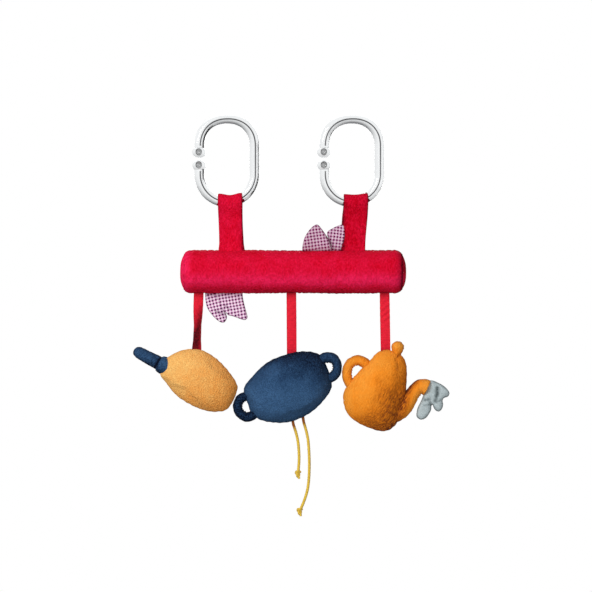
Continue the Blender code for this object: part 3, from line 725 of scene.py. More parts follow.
def grid_faces(rows: int, columns: int, closed: bool) -> Faces:
    """Four-sided faces between rows of points, where closed rows join up with their own start."""
    faces: Faces = []
    for start in range(0, (rows - 1) * columns, columns):
        for k in range(columns if closed else columns - 1):
            after = start + (k + 1) % columns
            faces.append((start + k, start + columns + k, after + columns, after))
    return faces


def tube_faces(rings: int, sides: int) -> Faces:
    """Faces of a tube of rings of points, with a cap on each end."""
    faces = [(a, d, c, b) for a, b, c, d in grid_faces(rings, sides, True)]
    faces.append(tuple(reversed(range(sides))))
    faces.append(tuple(range((rings - 1) * sides, rings * sides)))
    return faces


def directions(line: Array) -> Array:
    """A line's direction at each of its points."""
    run = np.gradient(line, axis=0)
    return run / np.linalg.norm(run, axis=1)[:, None]


def tube_frames(line: Array, up: Array) -> tuple[Array, Array]:
    """Two directions across a line at each of its points, the first square to a fixed one.

    Args:
        line: the line's points.
        up: the direction that the first cross direction stays square to.

    Returns:
        The sideways and the upward direction at each point.
    """
    run = directions(line)
    sideways = np.cross(run, up)
    sideways /= np.linalg.norm(sideways, axis=1)[:, None]
    return sideways, np.cross(sideways, run)


def tube_object(name: str, line: Array, frames: tuple[Array, Array], angles: Array,
                radius: Array, flatness: float = 1.0) -> Object:
    """A tube round a line.

    Args:
        name: its name.
        line: its middle line.
        frames: the sideways and the upward direction at each point of the line.
        angles: where round the line the tube has points.
        radius: its radius, by point of the line and by angle.
        flatness: its upward size against its sideways size.

    Returns:
        The closed tube.
    """
    sideways, upward = frames
    around = (np.cos(angles)[None, :, None] * sideways[:, None]
              + flatness * np.sin(angles)[None, :, None] * upward[:, None])
    rings = line[:, None] + radius[:, :, None] * around
    return mesh_object(name, rings.reshape(-1, 3), tube_faces(len(line), len(angles)))


def in_plane(line: Array) -> Array:
    """X and Z points as places on the Y = 0 plane."""
    return np.column_stack([line[:, 0], np.zeros(len(line)), line[:, 1]])


def turned(points: Array, degrees: float) -> tuple[Array, Array]:
    """How far across and up points are, seen from the front on axes that are turned."""
    turn = math.radians(degrees)
    across = points[:, 0] * math.cos(turn) + points[:, 2] * math.sin(turn)
    return across, points[:, 2] * math.cos(turn) - points[:, 0] * math.sin(turn)


def spot_tree(spots: Sequence[Sequence[float]]) -> KDTree:
    """A tree that finds the nearest of some points."""
    tree = KDTree(len(spots))
    for index, spot in enumerate(spots):
        tree.insert(spot, index)
    tree.balance()
    return tree


# Cloth work: stuffing, seams and folds.


@dataclass(frozen=True)
class Stuffing:
    """How a skin is blown out by its filling, as a short cloth simulation.

    Attributes:
        gather: how much shorter the sewn edges are pulled.
        cap: how far a point may move, in millimetres.
        pressure: how hard the filling pushes.
        frames: how long it is left to settle.
        scale: how many times larger the skin is while it is blown out.
    """

    gather: float = 0.12
    cap: float = 2.0
    pressure: float = 4.0
    frames: int = 20
    scale: float = 6.0

    def inflate(self, obj: Object, seam: Array) -> None:
        """Blows a closed skin out.

        Args:
            obj: the skin.
            seam: how near each point is to a seam, from 0 to 1.
        """
        rest = read_points(obj)
        write_points(obj, rest * self.scale)
        group = obj.vertex_groups.new(name="gathered")
        for index, weight in enumerate(seam):
            group.add([index], float(weight), "REPLACE")
        cloth = obj.modifiers.new("stuffing", "CLOTH")
        settings = cloth.settings
        settings.quality = 5
        settings.mass = 0.3
        settings.tension_stiffness = 15
        settings.compression_stiffness = 15
        settings.shear_stiffness = 5
        settings.bending_stiffness = 0.3
        settings.use_pressure = True
        settings.uniform_pressure_force = self.pressure
        settings.vertex_group_shrink = group.name
        settings.shrink_max = self.gather
        settings.effector_weights.gravity = 0
        cloth.point_cache.frame_start = 1
        cloth.point_cache.frame_end = self.frames
        scene = bpy.context.scene
        for step in range(1, self.frames + 1):
            scene.frame_set(step)
        graph = bpy.context.evaluated_depsgraph_get()
        result = obj.evaluated_get(graph).to_mesh()
        flat = np.empty(len(result.vertices) * 3, np.float32)
        result.vertices.foreach_get("co", flat)
        obj.modifiers.remove(cloth)
        obj.vertex_groups.clear()
        scene.frame_set(1)
        move = flat.reshape(-1, 3) / MM / self.scale - rest
        move -= move.mean(axis=0)
        length = np.linalg.norm(move, axis=1)
        move *= (np.minimum(length, self.cap) / np.maximum(length, 1e-6))[:, None]
        write_points(obj, rest + move)


class SeamLine:
    """Finds how far points are from the edges where two panels of a skin meet."""

    def __init__(self, obj: Object) -> None:
        """Collects the points along every edge between unlike panels."""
        points = read_points(obj)
        panels: dict[tuple[int, int], int] = {}
        spots = []
        for face in obj.data.polygons:
            for key in face.edge_keys:
                other = panels.setdefault(key, face.material_index)
                if other != face.material_index:
                    a, b = points[key[0]], points[key[1]]
                    spots += [a, 0.67 * a + 0.33 * b, 0.33 * a + 0.67 * b, b]
        self.tree = spot_tree(spots)

    def distance(self, points: Array) -> Array:
        """How far each point is from the nearest seam."""
        return np.array([self.tree.find(p)[2] for p in points])


@dataclass(frozen=True)
class Fold:
    """A crease in the cloth, from one X and Z point to another, with its depth and half width."""

    start: Pair
    end: Pair
    depth: float
    width: float

    def offsets(self, points: Array) -> Array:
        """How far the front of the cloth is drawn in at each point."""
        apart = segment_distance(points[:, [0, 2]], self.start, self.end)
        front = points[:, 1] < 0
        return -self.depth * np.exp(-(apart / self.width) ** 2) * front


def shade_folds(shade: Array, points: Array, folds: Sequence[Fold], most: float) -> Array:
    """Makes a shade as dark as the given share wherever a fold is at its full depth."""
    for fold in folds:
        shade = np.maximum(shade, -most * fold.offsets(points) / fold.depth)
    return shade


@dataclass(frozen=True)
class PaintedLightGradient:
    """Painted light and shade over a plush skin, lighter towards one side and darker towards the other,
    partly for how the nap lies.

    Attributes:
        middle: X and Z where the change is half way.
        towards: the direction in which it gets lighter.
        spread: how far the change reaches to each side of the middle.
        low: the painted shade on the dark side, below 0.
        high: the painted light on the light side, above 0.
        streak: how uneven it is.
    """

    middle: Pair
    towards: Pair
    spread: float
    low: float
    high: float
    streak: float = 0.3

    def values(self, points: Array, combed: Array) -> Array:
        """The painted light and shade at each point."""
        along = (points[:, [0, 2]] - np.array(self.middle)) @ np.array(self.towards)
        uneven = field(points, 14.0, 51.0)
        share = ease(0.5 + 0.5 * along / self.spread + 0.2 * uneven)
        streaks = field(combed * (1.0, 1.0, 0.4), 1.3, 52.0)
        return self.low + (self.high - self.low) * share + self.streak * streaks


@dataclass(frozen=True)
class Hand:
    """How a sewn piece is worked: its seam, puckers, soft lumps and pile, and the painted shade and light
    that its finish reads.

    Attributes:
        groove: how deep the seam is drawn in.
        groove_width: how far that reaches to each side of the seam.
        stitch: the spacing of its stitches.
        pucker: how high the gathers beside the seam stand.
        pucker_reach: how far from the seam they fade.
        gather: the spacing of the gathers.
        lump: how far the stuffing is uneven.
        lump_size: how broad a lump is.
        pile: how high the tufts stand.
        tuft: how broad a tuft is.
        nap_turn: how far the nap's direction is turned from upright, in degrees.
        shade_reach: how far from the seam the painted shade reaches.
        fold_shade: how dark the painted shade in its folds is.
        lie: the painted light and shade over the pile, or None.
        seed: which random pattern it has.
    """

    groove: float = 0.7
    groove_width: float = 0.9
    stitch: float = 3.2
    pucker: float = 0.3
    pucker_reach: float = 4.0
    gather: float = 6.5
    lump: float = 0.35
    lump_size: float = 15.0
    pile: float = 0.2
    tuft: float = 2.4
    nap_turn: float = 0.0
    shade_reach: float = 2.2
    fold_shade: float = 0.5
    lie: PaintedLightGradient | None = None
    seed: float = 1.0

    def nap_place(self, points: Array) -> Array:
        """The same points turned so that Z runs along the nap."""
        across, along = turned(points, self.nap_turn)
        return np.column_stack([across, points[:, 1], along])

    def work(self, obj: Object, distance: Array, along: Array,
             folds: Sequence[Fold] = ()) -> None:
        """Works the cloth and stores what its finish reads.

        Args:
            obj: the skin.
            distance: how far each point is from its seam.
            along: how far along the seam it is.
            folds: creases in the front.
        """
        points = read_points(obj)
        combed = self.nap_place(points)
        carry(obj, "cloth", combed)
        # Painted shade beside the seam and in the folds, and the painted light and shade of the gradient.
        shade = np.exp(-distance / self.shade_reach)
        carry(obj, "seam", shade_folds(shade, points, folds, self.fold_shade))
        if self.lie:
            carry(obj, "lie", self.lie.values(points, combed))
        stitched = 0.8 + 0.2 * np.cos(TURN * along / self.stitch)
        offsets = -self.groove * np.exp(-(distance / self.groove_width) ** 2) * stitched
        uneven = 0.5 + field(points, 11.0, self.seed + 3)
        wave = np.sin(TURN * along / self.gather + 3 * field(points, 16.0, self.seed + 5))
        gathers = self.pucker * np.exp(-distance / self.pucker_reach)
        offsets += gathers * wave * np.clip(uneven, 0, 1)
        offsets += self.lump * field(points, self.lump_size, self.seed)
        offsets += self.pile * field(combed * (1.0, 1.0, 0.5), self.tuft, self.seed + 1)
        for fold in folds:
            offsets += fold.offsets(points)
        push(obj, offsets)


def cut_panel(obj: Object, name: str, panel: Panel) -> Object:
    """Cuts one panel out of a sewn skin as an object of its own."""
    bm = bmesh.new()
    bm.from_mesh(obj.data)
    others = [face for face in bm.faces if face.material_index != panel.value]
    bmesh.ops.delete(bm, geom=others, context="FACES")
    for face in bm.faces:
        face.material_index = 0
    mesh = bpy.data.meshes.new(name)
    bm.to_mesh(mesh)
    bm.free()
    made = bpy.data.objects.new(name, mesh)
    bpy.context.scene.collection.objects.link(made)
    return made


def tuft_wadding(filling: Object, size: float, seed: float) -> None:
    """Makes loose filling uneven, in tufts of a size in millimetres."""
    push(filling, 0.5 * field(read_points(filling), size, seed))
    carry(filling, "cloth", read_points(filling))


@dataclass
class Maker:
    """Puts finished pieces on the frame."""

    wardrobe: Wardrobe

    def fit(self, obj: Object, body: Body | None, slot: Slot, replaced: Sequence[str] = ()) -> None:
        """Gives a piece its finish and its place on the frame.

        Args:
            obj: the piece, in place.
            body: what it rides on, or None for a piece between two bodies, which is not attached here.
            slot: its finish.
            replaced: the frame's nodes that it stands for.
        """
        obj.data.materials.clear()
        obj.data.materials.append(self.wardrobe.material(slot))
        if body is not None:
            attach(obj, body.value)
        if replaced:
            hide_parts(*replaced)
        held = body.value if body else "a blend"
        LOG.info("%s: %d faces on %s", obj.name, len(obj.data.polygons), held)

    def fit_panels(self, skin: Object, nodes: dict[Panel, str], prefix: str, body: Body,
                   slot: Slot, wall: float = 1.2) -> None:
        """Cuts a finished skin into its panels and fits each of them.

        Args:
            skin: the whole skin, which is removed.
            nodes: the frame's node that each panel stands for.
            prefix: what the panels' names start with.
            body: what they ride on.
            slot: their finish.
            wall: how thick the cloth is, in millimetres.
        """
        for panel, node in nodes.items():
            cut = cut_panel(skin, prefix + node, panel)
            thicken(cut, wall)
            self.fit(cut, body, slot, [node])
        bpy.data.objects.remove(skin, do_unlink=True)


# Rings.


@dataclass
class ClipRing:
    """A clear ring: a grooved round wire bent to an upright oval, with a dimpled ball on each end."""

    name: str
    body: Body
    seat: Pair
    half_width: float = 24.2
    shift: float = -0.35
    top: float = 4.3
    foot: float = -69.2
    wire: float = 4.35
    top_roundness: float = 2.2
    roundness: float = 2.0
    ball_width: float = 6.2
    ball_height: float = 5.1
    ball_outset: float = 0.3
    ball_depths: Pair = (-25.2, -36.6)
    dimple: Place = (2.75, 3.4, 3.2)
    dimple_rise: float = 0.4
    groove: float = 0.25
    groove_width: float = 0.5
    groove_shift: Pair = (1.05, -0.2)
    # The half width and the fade of the painted dark line along the front groove.
    line_half: float = 0.48
    line_fade: float = 0.34
    sides: int = 64

    def rise(self, offset: Array | float) -> Array:
        """How far the wire has risen above its lowest point, beside the ring's middle."""
        share = np.minimum(np.abs(offset) / self.half_width, 1.0)
        return self.half_width * (1 - (1 - share ** self.roundness) ** (1 / self.roundness))

    def lowest(self) -> float:
        """The height of the wire's middle line at its lowest point."""
        return self.seat[1] + self.foot

    def half_oval(self, centre: float, roundness: float, first: float, last: float) -> list[Pair]:
        """The middle line over half a turn."""
        points = []
        for angle in np.linspace(first, last, 41):
            cosine, sine = math.cos(angle), math.sin(angle)
            x = self.half_width * math.copysign(abs(cosine) ** (2 / roundness), cosine)
            z = self.half_width * math.copysign(abs(sine) ** (2 / roundness), sine)
            points.append((self.seat[0] + self.shift + x, self.seat[1] + centre + z))
        return points

    def middle_line(self) -> Array:
        """The wire's middle line, from the upper ball round to the lower ball."""
        left = self.seat[0] + self.shift - self.half_width
        top = self.half_oval(self.top - self.half_width, self.top_roundness, math.pi, 0.0)
        bottom = self.half_oval(self.foot + self.half_width, self.roundness, 0.0, -math.pi)
        ends = [(left, self.seat[1] + depth) for depth in self.ball_depths]
        return evenly(np.array([ends[0], *top, *bottom, ends[1]]), 0.8)

    def wire_object(self) -> Object:
        """The bent wire, with a shallow mould groove on its front and back."""
        line = in_plane(self.middle_line())
        frames = tube_frames(line, np.array([0.0, 1.0, 0.0]))
        angles = TURN * np.arange(self.sides) / self.sides
        angles = angles + 0.2 * np.sin(2 * angles)
        beside = self.wire * np.cos(angles)[None] - frames[0][:, [0, 2]] @ np.array([self.groove_shift]).T
        radius = self.wire - self.groove * np.exp(-(beside / self.groove_width) ** 2)
        return tube_object(self.name, line, frames, angles, radius)

    def end_tool(self, name: str, cuts: int, size: Place, forward: float, depth: float) -> Object:
        """A round tool in front of one end of the wire: the ball itself, or what cuts its dimple."""
        points, faces = unit_ball(cuts)
        place = (self.ball_place(), -forward, self.seat[1] + depth)
        tool = mesh_object(name, points * size + place, faces)
        refine(tool, 1)
        return tool

    def ball_place(self) -> float:
        """How far to the right the balls' middles are."""
        return self.seat[0] + self.shift - self.half_width - self.ball_outset

    def mark_recesses(self, ring: Object) -> None:
        """Stores the painted dark line along the front groove, the painted shade in the dimples, and where
        the balls are.
        """
        points = read_points(ring)
        flat = evenly(self.middle_line(), 0.12)
        line = in_plane(flat + self.groove_shift + (flat.mean(axis=0) - flat) * (0.0, 0.01))
        tree = spot_tree(line)
        beside = np.array([tree.find((p[0], 0, p[2]))[2] for p in points])
        front = np.clip((-points[:, 1] - 0.75 * self.wire) / 0.3, 0, 1)
        recess = front * (1 - ease((beside - self.line_half) / self.line_fade))
        balls = np.zeros(len(points))
        for depth in self.ball_depths:
            across = (points[:, 0] - self.ball_place()) / self.ball_width
            rise = (points[:, 2] - self.seat[1] - depth) / self.ball_height
            in_ball = across ** 2 + rise ** 2 < 1.1
            recess[in_ball] = 0
            hollow = np.hypot(across * self.ball_width / self.dimple[0],
                              rise * self.ball_height / self.dimple[2])
            in_front = points[:, 1] < -0.3 * self.ball_width
            recess = np.maximum(recess, 0.85 * in_ball * in_front * (1 - ease((hollow - 0.95) / 0.2)))
            balls = np.maximum(balls, in_ball)
        carry(ring, "recess", recess)
        carry(ring, "seam", balls)

    def make(self, maker: Maker) -> None:
        """Joins the balls to the wire, cuts the dimples and fits the ring."""
        ring = self.wire_object()
        ball = (self.ball_width, self.ball_width, self.ball_height)
        front = self.ball_width + self.dimple_rise
        tools = []
        for depth in self.ball_depths:
            tools += [("UNION", self.end_tool("ball", 9, ball, 0.0, depth)),
                      ("DIFFERENCE", self.end_tool("dimple", 7, self.dimple, front, depth))]
        for operation, tool in tools:
            modifier = ring.modifiers.new(operation, "BOOLEAN")
            modifier.operation = operation
            modifier.object = tool
        settle(ring)
        for _, tool in tools:
            bpy.data.objects.remove(tool, do_unlink=True)
        ring.data.shade_smooth()
        ring.data.set_sharp_from_angle(angle=math.radians(60))
        self.mark_recesses(ring)
        maker.fit(ring, self.body, Slot.CLEAR, [self.name])


@dataclass
class StrapLoop:
    """A doubled velour strap that goes over a ring's wire and is sewn into the roll's top seam."""

    name: str
    ring: ClipRing
    offset: float
    lean: float
    back_shift: float
    flare: float
    seed: float
    width: float = 21.7
    wall: float = 2.2
    bumps: float = 0.5
    # A fixed value of painted light for the whole strap; below 0 it darkens the strap as painted shade.
    nap: float = 0.0
    root: float = -113.6
    hinge: float = -68.45
    closing: float = 15.0
    waist: float = 0.035
    waist_end: float = 42.0
    drape: float = 0.35
    bump_pitch: float = 16.6

    def half_gap(self, depth: float) -> float:
        """Half the distance between the two runs at a depth below the wire's middle."""
        touching = 0.5 * self.wall + 0.05
        round_wire = self.ring.wire + 0.5 * self.wall + 0.3
        share = 0.5 * (1 + math.cos(math.pi * min(depth / self.closing, 1)))
        return touching + (round_wire - touching) * share

    def middle_line(self) -> Array:
        """The strap's middle line as Y and Z, up the back, over the wire and down the front."""
        top = self.ring.lowest()
        radius = self.half_gap(0.0)
        depths = np.linspace(0, top - self.root, 40)[1:]
        front = [(-self.half_gap(d), top - d) for d in depths]
        arc = [(-radius * math.cos(a), top + radius * math.sin(a)) for a in np.linspace(math.pi, 0, 15)]
        back = [(-y, z) for y, z in reversed(front)]
        return evenly(np.array(back + arc + front), 1.3)

    def section(self) -> Array:
        """The strap's cross section: across and through, round at its folded edges."""
        half = self.width / 2
        edge = self.wall / 2
        flat = np.linspace(-half + edge, half - edge, 20)
        top = [(x, edge) for x in flat]
        turns = (1.0, 0.5, 0.0, -0.5, -1.0)
        right = [(half - edge + edge * math.cos(turn), edge * math.sin(turn)) for turn in turns]
        bottom = [(x, -edge) for x in flat[::-1]]
        left = [(-x, -y) for x, y in right]
        return np.array(top + right + bottom + left)

    def make(self, maker: Maker) -> None:
        """Builds the loop, drapes it over the curved wire and fits it."""
        line = self.middle_line()
        section = self.section()
        run = directions(line)
        outward = np.column_stack([run[:, 1], -run[:, 0]])
        depth = np.clip(self.ring.lowest() - line[:, 1], 0, None)
        share = ease((depth - 6) / 38)
        behind = ease(line[:, 0] / 1.5 + 0.5)
        aside = self.offset + self.lean * share + self.back_shift * behind * ease(depth / 14)
        waist = self.waist * np.sin(math.pi * np.clip(depth / self.waist_end, 0, 1))
        narrow = 1 - waist + self.flare * ease((depth - 36) / 6)
        points = np.empty((len(line), len(section), 3))
        across = section[None, :, 0] * narrow[:, None]
        points[:, :, 0] = self.ring.seat[0] + aside[:, None] + across
        points[:, :, 1] = line[:, 0, None] + section[None, :, 1] * outward[:, 0, None]
        points[:, :, 2] = line[:, 1, None] + section[None, :, 1] * outward[:, 1, None]
        draped = self.drape * np.minimum(self.ring.rise(points[:, :, 0] - self.ring.seat[0]), 2.6)
        draped = draped - self.bumps * np.cos(TURN * section[None, :, 0] / self.bump_pitch)
        points[:, :, 2] += draped * (1 - ease(depth / 12))[:, None]
        obj = mesh_object(self.name, points.reshape(-1, 3), tube_faces(len(line), len(section)))
        refine(obj, 1)
        placed = read_points(obj)
        normals = read_normals(obj)
        side = np.abs(placed[:, 0] - self.ring.seat[0] - self.offset)
        edge = np.clip(self.width / 2 - side, 0, None)
        carry(obj, "cloth", placed)
        # Painted shade along the folded edges, and the strap's fixed painted light value.
        carry(obj, "seam", 0.8 * np.exp(-edge / 1.2))
        carry(obj, "lie", np.full(len(placed), self.nap))
        soft = 0.35 * field(placed, 9.0, self.seed) + 0.1 * field(placed, 2.2, self.seed + 1)
        outside = np.clip(normals[:, 1] * np.sign(placed[:, 1]), 0, 1)
        push(obj, soft * outside)
        top = self.ring.lowest() + self.ring.wire
        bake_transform(obj)
        maker.fit(obj, None, Slot.CRIMSON, [self.name])


# The roll.


@dataclass
class Roll:
    """The stuffed velour roll: two half-round panels, two end discs and the filling."""

    middle: Pair = (58.0, -130.5)
    length: float = 199.0
    radius: float = 18.6
    end_depth: float = 11.0
    squareness: float = 2.5
    seam_angle: float = 34.0
    skin_inset: float = 0.9
    filling_inset: float = 3.2
    fill: float = 0.85
    sides: int = 56
    step: float = 2.1
    tug: float = 0.8
    tug_reach: Place = (6.0, 5.0, 5.0)
    length_loss: float = 1.4
    radius_loss: float = 1.1

    def profile(self, inset: float) -> Array:
        """Distance from the middle and radius along half of the roll, out to its end's centre."""
        shoulder = self.length / 2 - self.end_depth - inset
        count = round(shoulder / self.step)
        rows = [(shoulder * i / count, self.radius - inset) for i in range(count)]
        turns = np.radians([0, 5, 11, 17, 23, 28.5, self.seam_angle, 40, 46, 52, 58, 64, 70, 76, 82, 87])
        for turn in turns:
            radius = (self.radius - inset) * math.cos(turn) ** (2 / self.squareness)
            rows.append((shoulder + self.end_depth * math.sin(turn) ** (2 / self.squareness), radius))
        return np.array(rows)

    def skin(self, name: str, inset: float) -> Object:
        """The closed skin, with the panel number of each face."""
        half = self.profile(inset)
        rows = np.vstack([half[::-1] * (-1, 1), half[1:]])
        angles = TURN * np.arange(self.sides) / self.sides
        points = np.empty((len(rows), self.sides, 3))
        points[:, :, 0] = self.middle[0] + rows[:, 0, None]
        points[:, :, 1] = -rows[:, 1, None] * np.sin(angles)[None]
        points[:, :, 2] = self.middle[1] + rows[:, 1, None] * np.cos(angles)[None]
        poles = [(self.middle[0] + side * (self.length / 2 - inset), 0, self.middle[1]) for side in (-1, 1)]
        faces = grid_faces(len(rows), self.sides, True)
        last = (len(rows) - 1) * self.sides
        for k in range(self.sides):
            after = (k + 1) % self.sides
            faces.append((len(rows) * self.sides, k, after))
            faces.append((len(rows) * self.sides + 1, last + after, last + k))
        obj = mesh_object(name, np.vstack([points.reshape(-1, 3), poles]), faces)
        self.number_panels(obj, inset)
        return obj

    def seam_place(self, inset: float) -> float:
        """How far from the roll's middle its end seams are."""
        bulge = math.sin(math.radians(self.seam_angle)) ** (2 / self.squareness)
        return self.length / 2 - self.end_depth - inset + self.end_depth * bulge

    def number_panels(self, obj: Object, inset: float) -> None:
        """Marks the faces of the front, the back and the two ends."""
        edge = self.seam_place(inset)
        for face in obj.data.polygons:
            x = face.center.x / MM - self.middle[0]
            if abs(x) > edge:
                face.material_index = (Panel.RIGHT_END if x > 0 else Panel.LEFT_END).value
            else:
                face.material_index = (Panel.FRONT if face.center.y < 0 else Panel.BACK).value

    def make(self, maker: Maker) -> None:
        """Sews, stuffs and fits the roll."""
        skin = self.skin("bar_skin", self.skin_inset)
        near = SeamLine(skin).distance(read_points(skin))
        Stuffing(gather=0.06, cap=1.2).inflate(skin, np.exp(-near / 3.0))
        self.hold_size(skin)
        refine(skin, 1)
        points = read_points(skin)
        distance = SeamLine(skin).distance(points)
        around = np.arctan2(points[:, 2] - self.middle[1], points[:, 1])
        on_end = np.abs(points[:, 0] - self.middle[0]) > self.seam_place(self.skin_inset) - 4
        along = np.where(on_end, around * self.radius, points[:, 0])
        work = Hand(groove=0.7, pucker=0.3, lump=0.45, lump_size=24.0, pile=0.1, tuft=2.4, seed=2.0)
        work.work(skin, distance, along)
        self.paint_sheen_and_shade(skin, distance)
        self.draw_in(skin)
        nodes = {Panel.FRONT: "bar_cover_front", Panel.BACK: "bar_cover_back",
                 Panel.LEFT_END: "bar_end_left", Panel.RIGHT_END: "bar_end_right"}
        maker.fit_panels(skin, nodes, "velour_", Body.BAR, Slot.CRIMSON)
        filling = self.skin("bar_wadding", self.filling_inset)
        tuft_wadding(filling, 7.0, 8.0)
        maker.fit(filling, Body.BAR, Slot.FILLING, ["bar_filling"])

    def hold_size(self, skin: Object) -> None:
        """Brings the stuffed roll back to its length and thickness."""
        middle = np.array([self.middle[0], 0.0, self.middle[1]])
        points = read_points(skin) - middle
        body = np.abs(points[:, 0]) < self.length / 2 - 20
        thick = np.hypot(points[body, 1], points[body, 2]).mean()
        points[:, 0] *= (self.length / 2 - self.length_loss) / np.abs(points[:, 0]).max()
        points[:, 1:] *= (self.radius - self.radius_loss) / thick
        write_points(skin, points + middle)

    def paint_sheen_and_shade(self, skin: Object, distance: Array) -> None:
        """Stores the painted sheen and shade, and the painted shade beside its seams."""
        points = read_points(skin)
        low = np.degrees(np.arctan2(points[:, 2] - self.middle[1], -points[:, 1]))
        # A painted sheen band below the front, painted light on the left end and painted shade on the right
        # end, with streaks.
        band = np.exp(-((low + 26 + 8 * field(points, 22.0, 41.0)) / 18) ** 2)
        beside = points[:, 0] - self.middle[0]
        left = ease((13 - self.length / 2 - beside) / 9)
        right = ease((beside - self.length / 2 + 5) / 2)
        streaks = 0.8 + 0.5 * field(points * (1.0, 1.0, 0.35), 1.8, 42.0)
        speckle = 0.4 * field(points, 1.3, 43.0) * ease((-low - 5) / 40)
        carry(skin, "lie", np.maximum(0.85 * band, 0.9 * left) * streaks + speckle - 0.4 * right)
        # Painted shade beside the seams, weaker towards the left end.
        carry(skin, "seam", np.exp(-distance / 1.6) * (1 - 0.9 * ease(-beside / 40)))

    def draw_in(self, skin: Object) -> None:
        """Draws the roll in a little where the ribbons below are sewn on."""
        points = read_points(skin)
        for ribbon in (Body.LEFT_RIBBON, Body.MIDDLE_RIBBON, Body.RIGHT_RIBBON):
            spot = joint_at(ribbon.value + "_swing")
            apart = np.linalg.norm((points - spot) / self.tug_reach, axis=1)
            points[:, 2] += self.tug * np.exp(-apart ** 2)
        write_points(skin, points)


# Flat cloth: leaves, ribbons and the splash of water.


def puffed_tab(name: str, outline: Array, half: float, edge: float, spacing: float) -> Object:
    """A doubled cloth tab: two layers joined round their edge, with rounded sides.

    Args:
        name: its name.
        outline: X and Z points round it.
        half: half its thickness.
        edge: how far in from the edge it reaches that thickness.
        spacing: how far apart its points are.

    Returns:
        The closed mesh, whose front is at -Y.
    """
    loop = evenly(outline, spacing, closed=True)
    low, high = loop.min(axis=0), loop.max(axis=0)
    xs = np.arange(low[0], high[0], spacing)
    zs = np.arange(low[1], high[1], spacing)
    grid = np.array([(x + (0.5 * spacing if k % 2 else 0), z) for k, z in enumerate(zs) for x in xs])
    middles = (loop + np.roll(loop, -1, axis=0)) / 2
    tree = spot_tree([(*spot, 0) for spot in np.vstack([loop, middles])])
    away = np.array([tree.find((*p, 0))[2] for p in grid])
    count = len(loop)
    edges = [(i, (i + 1) % count) for i in range(count)]
    chosen = [Vector(p) for p in [*loop, *grid[away > 0.7 * spacing]]]
    flat, _, triangles, *_ = delaunay_2d_cdt(chosen, edges, [list(range(count))], 1, 1e-5)
    flat = np.array([tuple(p) for p in flat])
    depth = np.array([tree.find((*p, 0))[2] for p in flat])
    depth[:count] = 0.0
    share = np.clip(depth / edge, 0, 1)
    height = half * np.sqrt(1 - (1 - share) ** 2)
    inner = np.flatnonzero(depth > 1e-4)
    back_of = {int(i): len(flat) + k for k, i in enumerate(inner)}
    front = np.column_stack([flat[:, 0], -height, flat[:, 1]])
    back = np.column_stack([flat[inner, 0], height[inner], flat[inner, 1]])
    faces = [tuple(t) for t in triangles]
    faces += [tuple(back_of.get(i, i) for i in reversed(t)) for t in triangles]
    return mesh_object(name, np.vstack([front, back]), faces)


def depth_in_tab(points: Array, half: float, edge: float) -> Array:
    """How far in from the edge of a puffed tab its points are, told from its thickness there."""
    return edge * (1 - np.sqrt(np.clip(1 - (points[:, 1] / half) ** 2, 0, 1)))


@dataclass
class Leaf:
    """A gingham leaf: two layers of cotton sewn round the edge and turned."""

    name: str
    body: Body
    outline: Sequence[Pair]
    flat: Pair
    pattern_turn: float
    forward: float
    cup: float
    curl: float
    seed: float
    folds: Sequence[Fold] = ()
    # How strong the painted red reflection of the roll and the painted shade are over the whole leaf.
    painted_reflection_and_shade: float = 0.0
    half: float = 0.75
    edge: float = 1.3

    def shape(self, obj: Object) -> None:
        """Bends the flat tab as it hangs or stands."""
        points = read_points(obj)
        root = np.array([self.outline[0], self.outline[-1]]).mean(axis=0)
        reach = np.abs(points[:, 2] - root[1])
        across = points[:, 0] - points[:, 0].mean()
        wave = 0.5 * field(points, 10.0, self.seed)
        points[:, 1] += -self.forward + self.cup * (across / 10) ** 2 * ease(reach / 10)
        points[:, 1] += self.curl * (reach / 20) ** 2 + wave * ease(reach / 6)
        write_points(obj, points)

    def make(self, maker: Maker) -> None:
        """Sews, bends and fits the leaf."""
        outline = smooth_curve(self.outline, 4)
        obj = puffed_tab("gingham_" + self.name, outline, self.half, self.edge, TAB_SPACING)
        flat = read_points(obj)
        across, up = turned(flat, self.pattern_turn)
        carry(obj, "cloth", np.column_stack([across, up, np.zeros(len(flat))]))
        # Painted shade near the sewn edge and in the folds.
        painted_hem_shade = 0.85 * np.exp(-depth_in_tab(flat, self.half, self.edge) / 0.6)
        painted_crease_shade = shade_folds(np.zeros(len(flat)), flat, self.folds, 1.0)
        carry(obj, "seam", np.maximum(painted_hem_shade, painted_crease_shade))
        # Painted shade near the root, where the leaf meets the roll, in the same dark red as the painted
        # reflection.
        root = 0.5 * np.exp(-np.abs(flat[:, 2] - self.outline[0][1]) / 2.5)
        carry(obj, "lie", np.full(len(flat), self.painted_reflection_and_shade) + root)
        for fold in self.folds:
            push(obj, fold.offsets(flat))
        self.shape(obj)
        maker.fit(obj, self.body, Slot.GINGHAM, [self.name])


